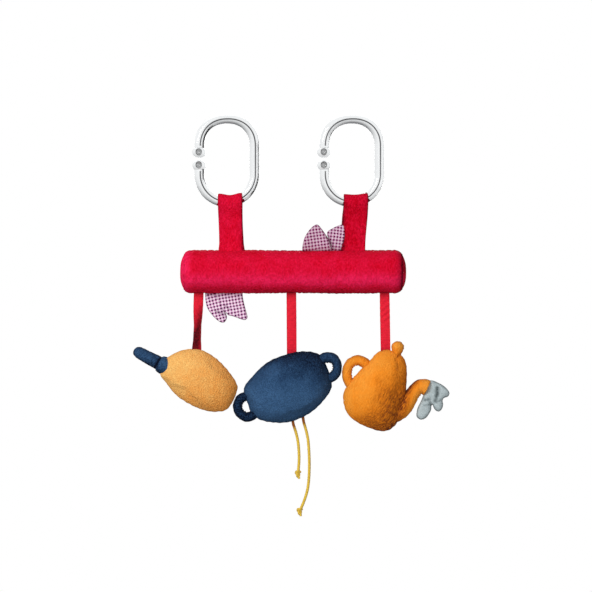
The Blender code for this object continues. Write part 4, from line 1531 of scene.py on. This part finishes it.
@dataclass
class Ribbon:
    """A woven ribbon, sewn under the roll and into the top of a toy."""

    name: str
    body: Body
    toy: Body
    turns: Sequence[Pair]
    curls: Sequence[Pair]
    wrinkle: float
    # How strong the painted shade on the twisted lower part is.
    shaded: float = 0.0
    width: float = 8.6
    wall: float = 0.7
    tuck: float = 4.0
    columns: int = 12
    crease_pitch: float = 5.5
    crease_middle: float = 0.3
    crease_reach: float = 0.22

    def make(self, maker: Maker) -> None:
        """Weaves the ribbon between its two seams and fits it."""
        top = joint_at(self.body.value + "_swing") + (0, 0, self.tuck)
        foot = joint_at(self.toy.value + "_twist") - (0, 0, self.tuck)
        length = float(np.linalg.norm(foot - top))
        rows, columns = round(length / TAB_SPACING), self.columns
        share = np.linspace(0, 1, rows + 1)
        middle = top + (foot - top) * share[:, None]
        turn = np.radians(np.interp(share, *np.array(self.turns).T))
        curl = np.interp(share, *np.array(self.curls).T)
        across = np.linspace(-0.5, 0.5, columns + 1)
        points = np.empty((rows + 1, columns + 1, 3))
        offset = self.width * across[None]
        bow = curl[:, None] * (1 - (2 * across[None]) ** 2)
        points[:, :, 0] = middle[:, 0, None] + offset * np.cos(turn)[:, None] + bow * np.sin(turn)[:, None]
        points[:, :, 1] = offset * np.sin(turn)[:, None] - bow * np.cos(turn)[:, None]
        points[:, :, 2] = middle[:, 2, None]
        slant = share[:, None] * length + 0.8 * offset
        held = np.sin(math.pi * share)[:, None]
        near = np.exp(-((share[:, None] - self.crease_middle) / self.crease_reach) ** 2)
        crease = np.sin(TURN * slant / self.crease_pitch) * near
        points[:, :, 1] += self.wrinkle * crease * held
        faces = grid_faces(rows + 1, columns + 1, False)
        obj = mesh_object("woven_" + self.name, points.reshape(-1, 3), faces)
        cloth = np.stack(np.broadcast_arrays(offset, share[:, None] * length, 0.0), axis=-1)
        carry(obj, "cloth", cloth.reshape(-1, 3))
        # Darker along both edges; painted shade near both ends, where it goes into the seams, and on the
        # twisted lower part.
        edge = np.abs(across)[None] > 0.47
        bound = np.broadcast_to(0.35 * edge, (rows + 1, columns + 1))
        sewn = np.maximum(np.exp(-share / 0.05), np.exp(-(1 - share) / 0.07))[:, None]
        low = share[:, None] + 0.3 * across[None]
        fold = self.shaded * (0.4 * ease((low - 0.2) / 0.3)
                              + 0.5 * ease((low - 0.42) / 0.2) * ease(0.75 - 1.6 * across)[None])
        carry(obj, "seam", np.maximum(np.maximum(bound, sewn), fold).reshape(-1))
        thicken(obj, self.wall, 0.0)
        obj.data.shade_smooth()
        obj.data.set_sharp_from_angle(angle=math.radians(50))
        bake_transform(obj)
        maker.fit(obj, None, Slot.RIBBON, [self.name])


# Stuffed toys.


@dataclass(frozen=True)
class StuffedForm:
    """A toy's body: its seam seen from the front, and how far it swells to each side."""

    outline: Sequence[Pair]
    centre: Pair
    half_depth: float
    fullness: float = 0.58

    def reach(self, angles: Array) -> Array:
        """How far the seam lies from the centre in each direction."""
        loop = smooth_curve(self.outline, 8, closed=True) - np.array(self.centre)
        edge = np.roll(loop, -1, axis=0) - loop
        cosine, sine = np.cos(angles)[:, None], np.sin(angles)[:, None]
        cross = cosine * edge[:, 1] - sine * edge[:, 0]
        cross = np.where(np.abs(cross) < 1e-9, 1e-9, cross)
        away = (loop[:, 0] * edge[:, 1] - loop[:, 1] * edge[:, 0]) / cross
        share = (loop[:, 0] * sine - loop[:, 1] * cosine) / cross
        hit = (share >= -1e-6) & (share <= 1 + 1e-6) & (away > 0)
        return np.where(hit, away, 0).max(axis=1)

    def place(self, ball: Array, grow: float) -> Array:
        """Stretches a unit ball over the form.

        Args:
            ball: points at radius 1.
            grow: how far outside the form they go, in millimetres.

        Returns:
            The stretched points, in the toy's own place.
        """
        angles = np.arctan2(ball[:, 2], ball[:, 0])
        spread = np.hypot(ball[:, 0], ball[:, 2])
        bulge = np.copysign(np.abs(ball[:, 1]) ** (2 * self.fullness), ball[:, 1])
        edge = self.reach(angles)
        even = np.mean([self.reach(angles + turn) for turn in np.linspace(-0.6, 0.6, 13)], axis=0)
        radius = (even + (edge - even) * spread ** 4 + grow) * spread
        return np.column_stack([self.centre[0] + radius * np.cos(angles),
                                (self.half_depth + grow) * bulge,
                                self.centre[1] + radius * np.sin(angles)])


@dataclass(frozen=True)
class StuffedLimb:
    """A stuffed tube, such as a handle.

    Attributes:
        node: the frame's node that it stands for.
        stations: X, Z and the radius at points of its middle line.
        flatness: its depth against its width.
        slot: its finish.
        work: how it is sewn.
        folds: creases in its front.
        fill: how full it is stuffed; not used.
        sides: how many points it has round it.
    """

    node: str
    stations: Sequence[Place]
    flatness: float
    slot: Slot
    work: Hand
    folds: Sequence[Fold] = ()
    fill: float = 0.9
    sides: int = 28

    def skin(self) -> Object:
        """The closed skin, drawn in along its two seams and puckered inside its bend."""
        stations = evenly(smooth_curve(self.stations, 6), 1.1)
        line = in_plane(stations[:, :2])
        angles = TURN * np.arange(self.sides) / self.sides
        frames = tube_frames(line, np.array([0.0, 1.0, 0.0]))
        obj = tube_object("sewn_" + self.node, line, frames, angles, stations[:, 2, None], self.flatness)
        run = np.gradient(line, axis=0)
        bend = np.cross(run, np.gradient(run, axis=0))[:, 1]
        inner = np.clip(-np.sign(bend)[:, None] * np.cos(angles)[None], 0, 1)
        tight = np.clip(np.abs(bend) * 9, 0, 1)[:, None]
        along = distances_along(line)[:, None]
        pleats = 0.35 * np.cos(TURN * along / 3.4) * inner ** 2 * tight
        from_seam = np.abs((angles + math.pi / 2) % math.pi - math.pi / 2)[None] * stations[:, 2, None]
        push(obj, pleats.reshape(-1))
        self.work.work(obj, from_seam.reshape(-1), np.repeat(along, self.sides), self.folds)
        return obj


@dataclass
class StuffedToy:
    """A sewn toy on a ribbon: its body's two panels, its filling and its limbs."""

    body: Body
    form: StuffedForm
    slot: Slot
    work: Hand
    stuffing: Stuffing
    folds: Sequence[Fold] = ()
    limbs: Sequence[StuffedLimb] = ()
    fill: float = 0.8
    ball_cuts: int = 21
    filling_cuts: int = 9
    skin_grow: float = -0.6
    seam_grow: float = 0.55
    filling_grow: float = -3.8
    gather_reach: float = 2.5
    softening: int = 5

    def hang(self) -> Array:
        """The toy's hang point, which its sizes start from."""
        return joint_at(self.body.value + "_twist")

    def hold_outline(self, skin: Object, ball: Array, grow: float) -> None:
        """Lets the blown skin out again in its own plane, until its seam is back on the outline.

        Args:
            skin: the blown skin.
            ball: where its points were on the unit ball.
            grow: how far outside the form's outline the seam belongs.
        """
        points = read_points(skin)
        centre = np.array(self.form.centre)
        flat = points[:, [0, 2]] - centre
        angles = np.arctan2(flat[:, 1], flat[:, 0])
        radius = np.hypot(flat[:, 0], flat[:, 1])
        rim = np.flatnonzero(np.abs(ball[:, 1]) < 1e-6)
        rim = rim[np.argsort(angles[rim])]
        wanted = self.form.reach(angles[rim]) + grow
        factors = wanted / radius[rim]
        scale = np.interp(angles, angles[rim], factors, period=TURN)
        points[:, [0, 2]] = centre + flat * scale[:, None]
        write_points(skin, points)

    def make_body(self, maker: Maker) -> None:
        """Sews, stuffs and fits the front and the back panel and the filling."""
        hang, name = self.hang(), self.body.value
        ball, faces = unit_ball(self.ball_cuts)
        skin = mesh_object(name + "_skin", self.form.place(ball, self.skin_grow), faces)
        for face in skin.data.polygons:
            face.material_index = (Panel.FRONT if face.center.y < 0 else Panel.BACK).value
        near = SeamLine(skin).distance(read_points(skin))
        self.stuffing.inflate(skin, np.exp(-near / self.gather_reach))
        soften = skin.modifiers.new("soften", "SMOOTH")
        soften.iterations = self.softening
        settle(skin)
        self.hold_outline(skin, ball, self.seam_grow)
        refine(skin, 1)
        points = read_points(skin)
        distance = SeamLine(skin).distance(points)
        centre = np.array(self.form.centre)
        angles = np.arctan2(points[:, 2] - centre[1], points[:, 0] - centre[0])
        table = np.linspace(-math.pi, math.pi, 241)
        spread = self.form.reach(table)
        rim = np.column_stack([spread * np.cos(table), spread * np.sin(table)])
        along = np.interp(angles, table, distances_along(rim))
        self.work.work(skin, distance, along, self.folds)
        shift(skin, hang)
        nodes = {Panel.FRONT: name + "_front", Panel.BACK: name + "_back"}
        maker.fit_panels(skin, nodes, "sewn_", self.body, self.slot)
        ball, faces = unit_ball(self.filling_cuts)
        filling = mesh_object(name + "_wadding", self.form.place(ball, self.filling_grow), faces)
        refine(filling, 1)
        tuft_wadding(filling, 6.0, 4.0)
        shift(filling, hang)
        maker.fit(filling, self.body, Slot.FILLING, [name + "_filling"])

    def make(self, maker: Maker) -> None:
        """Builds the body and then the limbs."""
        self.make_body(maker)
        for limb in self.limbs:
            obj = limb.skin()
            shift(obj, self.hang())
            maker.fit(obj, self.body, limb.slot, [limb.node])


@dataclass
class Noodle:
    """A yellow cord that hangs from the pot's seam, with an overhand knot at its end."""

    name: str
    body: Body
    route: Sequence[Pair]
    diameter: float = 2.5
    tuck: float = 2.4
    drift: float = 0.5
    lay: float = 4.2
    sides: int = 14
    bend_above: float = 1.5
    bend_below: float = 3.0
    knot_gap: float = 2.1
    knot_share: float = 0.42

    def centre_line(self, hang: Array) -> Array:
        """The cord's middle line from inside the seam to the knot."""
        start = (self.route[0][0], self.route[0][1] + self.tuck)
        line = smooth_curve([start, *self.route[1:]], 12)
        return in_plane(evenly(line, 0.6)) + hang - (self.drift, 0, 0)

    def tube(self, name: str, line: Array, radius: float, shaded: float = 0.0) -> Object:
        """Twisted cord along a line, with painted shade between its plies and a painted shadow of the pot
        near its top, as strong as shaded.
        """
        along = distances_along(line)[:, None]
        angles = TURN * np.arange(self.sides) / self.sides
        ply = np.cos(3 * angles - TURN * along / self.lay)
        frames = tube_frames(line, np.array([0.05, 1.0, 0.02]))
        obj = tube_object(name, line, frames, angles, radius - 0.05 + 0.09 * np.abs(ply))
        cloth = np.stack(np.broadcast_arrays(angles * radius, along, 0.0), axis=-1)
        carry(obj, "cloth", cloth.reshape(-1, 3))
        # Painted shade between the plies, and the pot's painted shadow near the top.
        dim = np.maximum(0.22 * (1 - np.abs(ply)), shaded * np.exp(-((along - self.tuck) / 6.0) ** 2))
        carry(obj, "seam", dim.reshape(-1))
        return obj

    def knot_line(self, end: Array, run: Array) -> Array:
        """The knot's middle line: round itself, through its own loop and out as a short tail."""
        turn = np.linspace(0.15, 1.0, 90) * TURN
        loop = np.column_stack([0.7 * (np.sin(turn) + 2 * np.sin(2 * turn)),
                                -0.7 * np.sin(3 * turn),
                                0.92 * (np.cos(turn) - 2 * np.cos(2 * turn))])
        tail = [(0.3, 0.2, -1.9), (0.7, 0.1, -3.2), (0.9, 0.0, -4.6)]
        local = evenly(smooth_curve(np.vstack([loop[::6], tail]), 6), 0.45)
        return end + run * self.knot_gap + local

    def make(self, maker: Maker, hang: Array) -> None:
        """Lays the cord, ties its knot and fits both."""
        line = self.centre_line(hang)
        # 1.2: how strong the pot's painted shadow is at the cord's top.
        cord = self.tube("cord_" + self.name, line, self.diameter / 2, 1.2)
        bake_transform(cord)
        maker.fit(cord, None, Slot.CORD, [self.name])
        run = line[-1] - line[-4]
        run /= np.linalg.norm(run)
        thin = self.knot_share * self.diameter
        knot = self.tube("tied_" + self.name, self.knot_line(line[-1], run), thin)
        maker.fit(knot, self.body, Slot.CORD, [self.name + "_knot"])


@dataclass
class Splash:
    """The splash of water: two layers of pale cloth with a little padding and three soft fingers."""

    outline: Sequence[Pair]
    folds: Sequence[Fold]
    # Where it meets the spout's mouth, along which a painted shadow lies.
    mouth: tuple[Pair, Pair] = ((37.9, -27.5), (30.4, -41.8))
    half: float = 2.9
    edge: float = 4.6

    def make(self, maker: Maker, hang: Array) -> None:
        """Sews and fits the splash."""
        outline = smooth_curve(self.outline, 4, closed=True)
        obj = puffed_tab("sewn_splash", outline, self.half, self.edge, TAB_SPACING)
        points = read_points(obj)
        depth = depth_in_tab(points, self.half, self.edge)
        mouth = segment_distance(points[:, [0, 2]], *self.mouth)
        # Painted shade near the sewn edge, a painted shadow along the spout's mouth, and painted shade in
        # the folds.
        dark = np.maximum(0.7 * np.exp(-depth / 0.8), np.exp(-(mouth / 1.2) ** 2))
        offsets = 0.25 * field(points, 5.0, 12.0)
        for fold in self.folds:
            part = fold.offsets(points)
            dark = np.maximum(dark, -0.5 * part)
            offsets += part
        carry(obj, "cloth", points[:, [0, 2, 1]])
        carry(obj, "seam", dark)
        push(obj, offsets)
        shift(obj, hang)
        maker.fit(obj, Body.WATER, Slot.WATER, ["splash"])


# The studio.


@dataclass
class Studio:
    """Camera, soft lights, pale floor and white surroundings."""

    aim: Place = (60.5, 0.0, -151.8)
    view_width: float = 521.0
    lens: float = 120.0
    sensor: float = 36.0
    floor_height: float = -750.0
    floor_half: float = 2200.0
    floor_grey: float = 0.35
    floor_glow: float = 0.88
    ambient: float = 0.24
    softboxes: Sequence[tuple[str, Place, float, float]] = (
        ("key", (-1050, -1300, 700), 700, 0.74),
        ("fill", (800, -1500, -300), 1100, 0.31),
        ("top", (-200, 300, 1400), 800, 0.08),
        ("back", (200, 1600, 500), 1100, 0.55))

    def set_camera(self) -> None:
        """Puts the camera square in front of the bar."""
        data = bpy.data.cameras.new("camera")
        data.lens = self.lens
        data.sensor_width = self.sensor
        camera = bpy.data.objects.new("camera", data)
        away = self.view_width * self.lens / self.sensor
        camera.location = Vector((self.aim[0], -away, self.aim[2])) * MM
        camera.rotation_euler = (math.pi / 2, 0, 0)
        bpy.context.scene.collection.objects.link(camera)
        bpy.context.scene.camera = camera

    def add_softbox(self, name: str, place: Place, size: float, share: float) -> None:
        """Hangs a square soft light that faces the bar.

        Args:
            name: its name.
            place: where it is, in millimetres from the bar's middle.
            size: the length of its side in millimetres.
            share: how much of a surface's written colour it brings out by itself.
        """
        data = bpy.data.lights.new(name, "AREA")
        data.size = size * MM
        offset = Vector(place) * MM
        data.energy = share * math.pi ** 2 * offset.length_squared
        light = bpy.data.objects.new(name, data)
        light.location = Vector(self.aim) * MM + offset
        light.rotation_euler = (-offset).to_track_quat("-Z", "Y").to_euler()
        light.visible_transmission = False
        bpy.context.scene.collection.objects.link(light)

    def surround(self) -> None:
        """White all round for the eye and for gloss and glass, and a dimmer even light on the cloth."""
        world = bpy.data.worlds.new("studio")
        world.use_nodes = True
        bpy.context.scene.world = world
        graph = Graph(world.node_tree)
        world.node_tree.nodes.clear()
        path = graph.node("LightPath")
        seen = graph.math("MAXIMUM", path.outputs["Is Glossy Ray"], path.outputs["Is Transmission Ray"])
        seen = graph.math("MAXIMUM", path.outputs["Is Camera Ray"], seen)
        soft = graph.node("Background", {"Color": (1, 1, 1, 1), "Strength": self.ambient})
        white = graph.node("Background", {"Color": (1, 1, 1, 1), "Strength": 1.0})
        mixed = graph.node("MixShader", {0: seen, 1: soft.outputs[0], 2: white.outputs[0]})
        graph.feed(graph.node("OutputWorld").inputs["Surface"], mixed.outputs[0])

    def lay_floor(self) -> None:
        """A plain white floor well below the bar, which still takes its shadow."""
        half = self.floor_half
        corners = np.array([(-half, -half, 0), (half, -half, 0), (half, half, 0), (-half, half, 0)])
        floor = mesh_object("floor", corners + (self.aim[0], 0, self.floor_height), [(0, 1, 2, 3)])
        grey = (self.floor_grey, self.floor_grey, self.floor_grey, 1)
        material, graph, shader = new_material("white_floor", {
            "Base Color": grey, "Roughness": 1.0, "Specular IOR Level": 0.0})
        path = graph.node("LightPath")
        glow = graph.node("Emission", {"Color": (1, 1, 1, 1), "Strength": self.floor_glow})
        both = graph.node("AddShader", {0: shader.outputs[0], 1: glow.outputs[0]})
        seen = graph.math("MAXIMUM", path.outputs["Is Camera Ray"], path.outputs["Is Transmission Ray"])
        mixed = graph.node("MixShader", {0: seen, 1: shader.outputs[0], 2: both.outputs[0]})
        output = material.node_tree.nodes["Material Output"]
        graph.feed(output.inputs["Surface"], mixed.outputs[0])
        floor.data.materials.append(material)

    def light(self) -> None:
        """Sets up the light and the surroundings."""
        for name, place, size, share in self.softboxes:
            self.add_softbox(name, place, size, share)
        self.surround()
        self.lay_floor()
        bpy.context.scene.view_settings.view_transform = "Standard"


PAN_FORM = StuffedForm(
    outline=((-25.5, -7.5), (-14.0, -1.7), (-3.0, 0.0), (8.0, -2.6), (19.5, -10.5), (29.5, -21.5),
             (35.9, -32.2), (34.6, -40.4), (30.8, -48.4), (25.3, -54.0), (12.0, -54.8), (-3.0, -50.0),
             (-17.5, -40.5), (-27.5, -28.8), (-32.0, -21.5), (-30.2, -13.0)),
    centre=(1.5, -28.0), half_depth=12.5)

POT_FORM = StuffedForm(
    outline=((-16.5, -5.5), (-4.0, -1.0), (8.0, 1.3), (18.0, 1.0), (25.3, -2.0), (30.5, -11.5),
             (35.0, -24.0), (34.2, -32.5), (28.0, -41.0), (18.0, -51.0), (6.5, -57.2), (-6.0, -60.8),
             (-19.0, -60.6), (-30.0, -57.5), (-36.3, -51.0), (-39.0, -43.0), (-42.0, -34.0),
             (-41.0, -28.5), (-35.5, -21.5), (-26.0, -12.0)),
    centre=(-3.0, -29.0), half_depth=15.0)

TEAPOT_FORM = StuffedForm(
    outline=((-7.5, -2.5), (0.0, 0.3), (8.0, -1.5), (15.3, -6.0), (18.3, -14.0), (18.3, -26.0),
             (17.0, -39.0), (14.0, -49.5), (11.0, -61.5), (5.3, -68.8), (-2.0, -71.5), (-12.0, -69.0),
             (-24.0, -64.0), (-32.5, -57.5), (-36.7, -48.0), (-37.0, -38.0), (-31.0, -28.0),
             (-20.5, -16.5), (-13.5, -9.5)),
    centre=(-9.0, -38.0), half_depth=14.5)

SPLASH_OUTLINE = (
    (37.8, -27.4), (41.0, -26.8), (46.0, -28.6), (51.0, -31.6), (54.8, -35.0), (56.2, -38.0),
    (54.8, -41.0), (51.6, -42.2), (50.2, -44.5), (50.6, -47.5), (49.6, -51.5), (47.2, -54.2),
    (44.3, -53.4), (42.3, -50.8), (41.2, -48.0), (40.2, -49.5), (40.0, -53.0), (37.2, -57.8),
    (33.7, -60.8), (30.2, -61.2), (27.3, -58.4), (27.2, -54.6), (28.6, -49.8), (30.7, -45.5),
    (33.0, -40.4), (35.6, -33.4))

NOODLE_SHORT = (
    (1.2, -61.0), (2.0, -63.0), (3.0, -66.0), (4.1, -69.5), (5.1, -73.5), (5.9, -77.5), (6.4, -81.5),
    (6.7, -85.5), (6.9, -89.5), (6.9, -93.0), (6.8, -96.5), (6.5, -100.0), (6.2, -103.8))

NOODLE_LONG = (
    (10.2, -57.7), (11.0, -60.5), (12.3, -65.0), (13.6, -70.0), (14.7, -75.5), (15.3, -81.5),
    (15.7, -88.0), (15.9, -94.5), (15.9, -101.0), (15.7, -107.5), (15.2, -114.0), (14.3, -120.0),
    (12.7, -126.0), (10.6, -131.8), (8.4, -136.9))


def make_leaves() -> list[Leaf]:
    """The four gingham leaves."""
    # The top leaves carry a painted red reflection of the roll and painted shade.
    return [
        Leaf("leaf_top_left", Body.TOP_LEFT_LEAF,
             ((66.0, -112.6), (66.3, -107.5), (68.3, -100.0), (73.0, -92.9), (77.6, -89.2), (80.5, -89.8),
              (85.0, -95.5), (89.3, -102.5), (92.2, -112.6)),
             flat=(27.0, 24.0), pattern_turn=8.0, forward=3.6, cup=-0.8, curl=0.4, seed=21.0,
             folds=(Fold((84.0, -94.2), (92.5, -110.0), 0.3, 1.1),), painted_reflection_and_shade=0.32),
        Leaf("leaf_top_right", Body.TOP_RIGHT_LEAF,
             ((91.5, -112.6), (89.5, -103.8), (87.8, -96.3), (91.3, -93.0), (96.5, -90.4), (101.0, -89.0),
              (103.3, -90.8), (103.6, -95.0), (102.6, -103.5), (99.5, -112.6)),
             flat=(17.0, 24.0), pattern_turn=-6.0, forward=2.2, cup=-0.4, curl=0.6, seed=22.0,
             folds=(Fold((89.5, -101.0), (94.5, -112.0), 0.3, 1.6),), painted_reflection_and_shade=0.26),
        Leaf("leaf_bottom_left", Body.BOTTOM_LEFT_LEAF,
             ((-19.5, -148.6), (-19.0, -156.5), (-17.2, -163.0), (-12.5, -169.5), (-7.5, -174.0),
              (-3.8, -175.3), (-1.6, -174.0), (-0.3, -169.8), (-4.0, -162.0), (-9.4, -148.6)),
             flat=(20.0, 27.0), pattern_turn=14.0, forward=-0.4, cup=0.6, curl=-0.6, seed=23.0,
             folds=(Fold((-10.0, -165.0), (-2.5, -168.5), 0.5, 1.3),)),
        Leaf("leaf_bottom_right", Body.BOTTOM_RIGHT_LEAF,
             ((-11.5, -148.6), (-5.1, -162.0), (0.8, -168.5), (5.0, -169.6), (11.5, -172.0), (15.5, -172.9),
              (17.8, -171.0), (17.3, -167.5), (15.5, -161.0), (13.8, -153.5), (13.5, -148.6)),
             flat=(30.0, 25.0), pattern_turn=10.0, forward=0.9, cup=0.5, curl=-0.5, seed=24.0,
             folds=(Fold((-1.5, -160.5), (2.0, -163.5), 0.4, 1.2),)),
    ]


def make_ribbons() -> list[Ribbon]:
    """The three woven ribbons."""
    return [
        # The left ribbon's twisted lower part gets painted shade.
        Ribbon("ribbon_left", Body.LEFT_RIBBON, Body.PAN,
               turns=((0, 0), (0.2, 8), (0.55, 46), (0.8, 42), (1, 12)),
               curls=((0, 0), (0.3, 0.3), (0.6, 1.1), (0.9, 0.6), (1, 0)), wrinkle=0.15, shaded=1.1),
        Ribbon("ribbon_middle", Body.MIDDLE_RIBBON, Body.POT,
               turns=((0, 0), (0.5, 4), (1, 0)), curls=((0, 0), (0.5, 0.5), (1, 0)), wrinkle=0.2),
        Ribbon("ribbon_right", Body.RIGHT_RIBBON, Body.TEAPOT,
               turns=((0, 0), (0.5, -5), (1, 0)), curls=((0, 0), (0.4, 0.4), (1, 0)), wrinkle=0.5),
    ]


def make_pan() -> StuffedToy:
    """The apricot frying pan with its navy cuff and grip."""
    # The gradients paint light and shade over the pile, lighter towards their given direction; the folds
    # get painted shade.
    cuff = Hand(groove=0.35, pucker=0.15, lump=0.2, pile=0.1, seed=5.0, shade_reach=2.8, fold_shade=1.2,
                lie=PaintedLightGradient((-29.5, -14.3), (0.3, 0.95), 8.0, -0.35, 0.4, 0.5))
    grip = replace(cuff, shade_reach=3.2, lie=PaintedLightGradient((-42.0, -8.0), (-0.5, 0.86), 9.0, -0.25, 0.25, 0.7))
    limbs = (
        StuffedLimb(
            "pan_collar",
            ((-23.9, -17.3, 7.4), (-28.8, -14.75, 7.6), (-30.6, -13.8, 7.6), (-32.3, -12.9, 7.0),
             (-33.6, -12.2, 4.9)),
            0.85, Slot.NAVY, cuff, (Fold((-30.5, -6.3), (-37.5, -19.0), 0.3, 1.0),)),
        StuffedLimb(
            "pan_grip",
            ((-31.0, -13.6, 5.6), (-33.8, -12.1, 5.7), (-41.0, -8.4, 5.5), (-47.5, -4.9, 5.2),
             (-51.0, -3.0, 4.8), (-53.6, -1.7, 3.3), (-54.9, -1.0, 0.8)),
            0.85, Slot.NAVY, grip, (Fold((-31.0, -6.5), (-38.0, -19.0), 0.5, 1.0),)))
    work = Hand(pile=0.16, tuft=1.9, seed=3.0,
                lie=PaintedLightGradient((2.0, -28.0), (-0.7, 0.71), 32.0, -0.12, 0.4, 0.12))
    return StuffedToy(Body.PAN, PAN_FORM, Slot.APRICOT, work, Stuffing(), limbs=limbs)


def make_pot() -> StuffedToy:
    """The navy cooking pot with its two loop handles."""
    # The gradients paint light and shade over the fleece, lighter towards their given direction; the wide
    # shade reach spreads the painted seam shade.
    loop = Hand(groove=0.4, pucker=0.15, lump=0.2, pile=0.1, seed=7.0,
                lie=PaintedLightGradient((0.0, -35.0), (0.9, 0.44), 45.0, -0.55, -0.2, 0.2))
    limbs = (
        StuffedLimb(
            "pot_handle_left",
            ((-33.5, -38.0, 3.7), (-40.5, -38.0, 3.8), (-45.2, -40.3, 3.9), (-47.6, -45.5, 3.9),
             (-46.8, -50.8, 3.9), (-43.1, -54.8, 3.9), (-38.0, -56.2, 3.9), (-30.5, -52.0, 3.8)),
            0.95, Slot.NAVY, loop),
        StuffedLimb(
            "pot_handle_right",
            ((20.5, -9.5, 4.1), (26.5, -5.0, 4.3), (31.5, -3.7, 4.4), (36.2, -4.5, 4.2),
             (39.3, -8.2, 3.8), (40.0, -13.0, 3.7), (38.6, -17.6, 3.9), (34.8, -21.0, 4.2),
             (26.5, -22.8, 4.1)),
            0.9, Slot.NAVY, loop))
    work = Hand(seed=4.0, pile=0.1, shade_reach=4.0,
                lie=PaintedLightGradient((0.0, -20.0), (-0.12, -0.99), 24.0, -0.6, 0.5, 0.15))
    return StuffedToy(Body.POT, POT_FORM, Slot.NAVY, work, Stuffing(cap=2.2), limbs=limbs)


def make_teapot() -> StuffedToy:
    """The orange teapot with its handle, spout and lid knob."""
    # The gradients paint light and shade over the plush, lighter towards their given direction; the folds
    # get painted shade.
    loop = Hand(groove=0.4, pucker=0.2, lump=0.25, pile=0.2, nap_turn=-25.0, seed=8.0,
                lie=PaintedLightGradient((-26.0, -20.0), (-0.9, 0.44), 12.0, -0.2, 0.2))
    pipe = replace(loop, lie=PaintedLightGradient((21.2, -43.5), (0.8, -0.35), 5.0, -0.78, 0.35, 0.1))
    stub = Hand(groove=0.2, pucker=0.25, gather=2.6, lump=0.15, pile=0.15, nap_turn=-25.0, seed=9.0,
                lie=PaintedLightGradient((10.5, 0.0), (0.3, 0.95), 6.0, -0.4, 0.5))
    limbs = (
        StuffedLimb(
            "teapot_handle",
            ((-24.0, -39.0, 3.9), (-30.2, -31.5, 4.0), (-33.4, -25.5, 4.0), (-34.0, -19.0, 4.0),
             (-32.4, -13.5, 4.0), (-28.5, -10.0, 4.1), (-23.3, -9.1, 4.2), (-17.5, -12.2, 4.2),
             (-11.0, -19.5, 4.0)),
            0.95, Slot.ORANGE, loop),
        StuffedLimb(
            "teapot_spout",
            ((4.0, -58.0, 7.0), (9.5, -55.9, 7.1), (14.8, -52.0, 7.0), (18.6, -47.3, 6.6),
             (21.4, -42.6, 6.2), (24.1, -38.0, 6.0), (27.2, -34.4, 6.0), (30.4, -32.3, 6.2),
             (33.5, -32.2, 6.5), (36.5, -33.4, 6.9)),
            0.9, Slot.ORANGE, pipe),
        StuffedLimb(
            "teapot_knob",
            ((8.2, -7.5, 4.2), (8.9, -4.6, 4.1), (9.7, -2.0, 4.3), (10.3, 0.6, 5.1), (10.7, 3.0, 5.5),
             (11.0, 5.2, 4.6), (11.2, 6.7, 2.9), (11.3, 7.5, 0.9)),
            0.95, Slot.ORANGE, stub))
    work = Hand(seed=6.0, pile=0.05, tuft=2.6, nap_turn=-32.0,
                lie=PaintedLightGradient((-3.0, -34.0), (-0.8, 0.6), 30.0, -0.72, 0.35, 0.1))
    folds = (Fold((12.0, -3.0), (9.4, -8.5), 1.1, 1.0), Fold((9.4, -8.5), (10.4, -17.0), 0.5, 1.4))
    return StuffedToy(Body.TEAPOT, TEAPOT_FORM, Slot.ORANGE, work, Stuffing(cap=2.2), folds, limbs)


def make_splash() -> Splash:
    """The splash of water at the teapot's spout."""
    return Splash(SPLASH_OUTLINE, (
        Fold((45.7, -33.4), (45.2, -40.5), 1.6, 1.7), Fold((45.2, -40.5), (43.9, -45.0), 1.1, 1.6),
        Fold((34.0, -43.9), (38.4, -43.8), 1.2, 1.1), Fold((38.4, -43.8), (40.0, -48.5), 1.0, 1.1),
        Fold((33.8, -48.7), (38.6, -48.3), 0.7, 1.0), Fold((43.4, -46.4), (48.2, -44.5), 0.9, 0.9)))


def dress_hidden_parts(wardrobe: Wardrobe) -> None:
    """Gives the sound makers inside the toys their finishes."""
    for node, slot in (("pan_rattle", Slot.CAPSULE), ("pot_squeaker", Slot.CAPSULE),
                       ("teapot_bell", Slot.BRASS)):
        mesh = frame["nodes"][node].data
        mesh.materials.clear()
        mesh.materials.append(wardrobe.material(slot))


def main() -> None:
    """Builds the studio and every piece in order."""
    logging.basicConfig(level=logging.INFO, format="%(name)s: %(message)s")
    studio = Studio()
    studio.set_camera()
    maker = Maker(Wardrobe())
    pot, teapot = make_pot(), make_teapot()
    for noodle in (Noodle("noodle_short", Body.SHORT_NOODLE, NOODLE_SHORT),
                   Noodle("noodle_long", Body.LONG_NOODLE, NOODLE_LONG)):
        noodle.make(maker, pot.hang())
    left = ClipRing("ring_left", Body.LEFT_RING, (0.0, 0.0))
    right = ClipRing("ring_right", Body.RIGHT_RING, (109.8, 0.0))
    left.make(maker)
    right.make(maker)
    StrapLoop("strap_left", left, 2.6, 1.1, 0.3, 0.05, 31.0).make(maker)
    # The right strap gets a little painted shade all over.
    StrapLoop("strap_right", right, 3.4, -2.6, -1.4, 0.0, 33.0, bumps=0.15, nap=-0.12).make(maker)
    Roll().make(maker)
    for flat_piece in (*make_leaves(), *make_ribbons()):
        flat_piece.make(maker)
    for toy in (make_pan(), pot, teapot):
        toy.make(maker)
    make_splash().make(maker, teapot.hang())
    dress_hidden_parts(maker.wardrobe)
    studio.light()


if __name__ == "__main__":
    main()
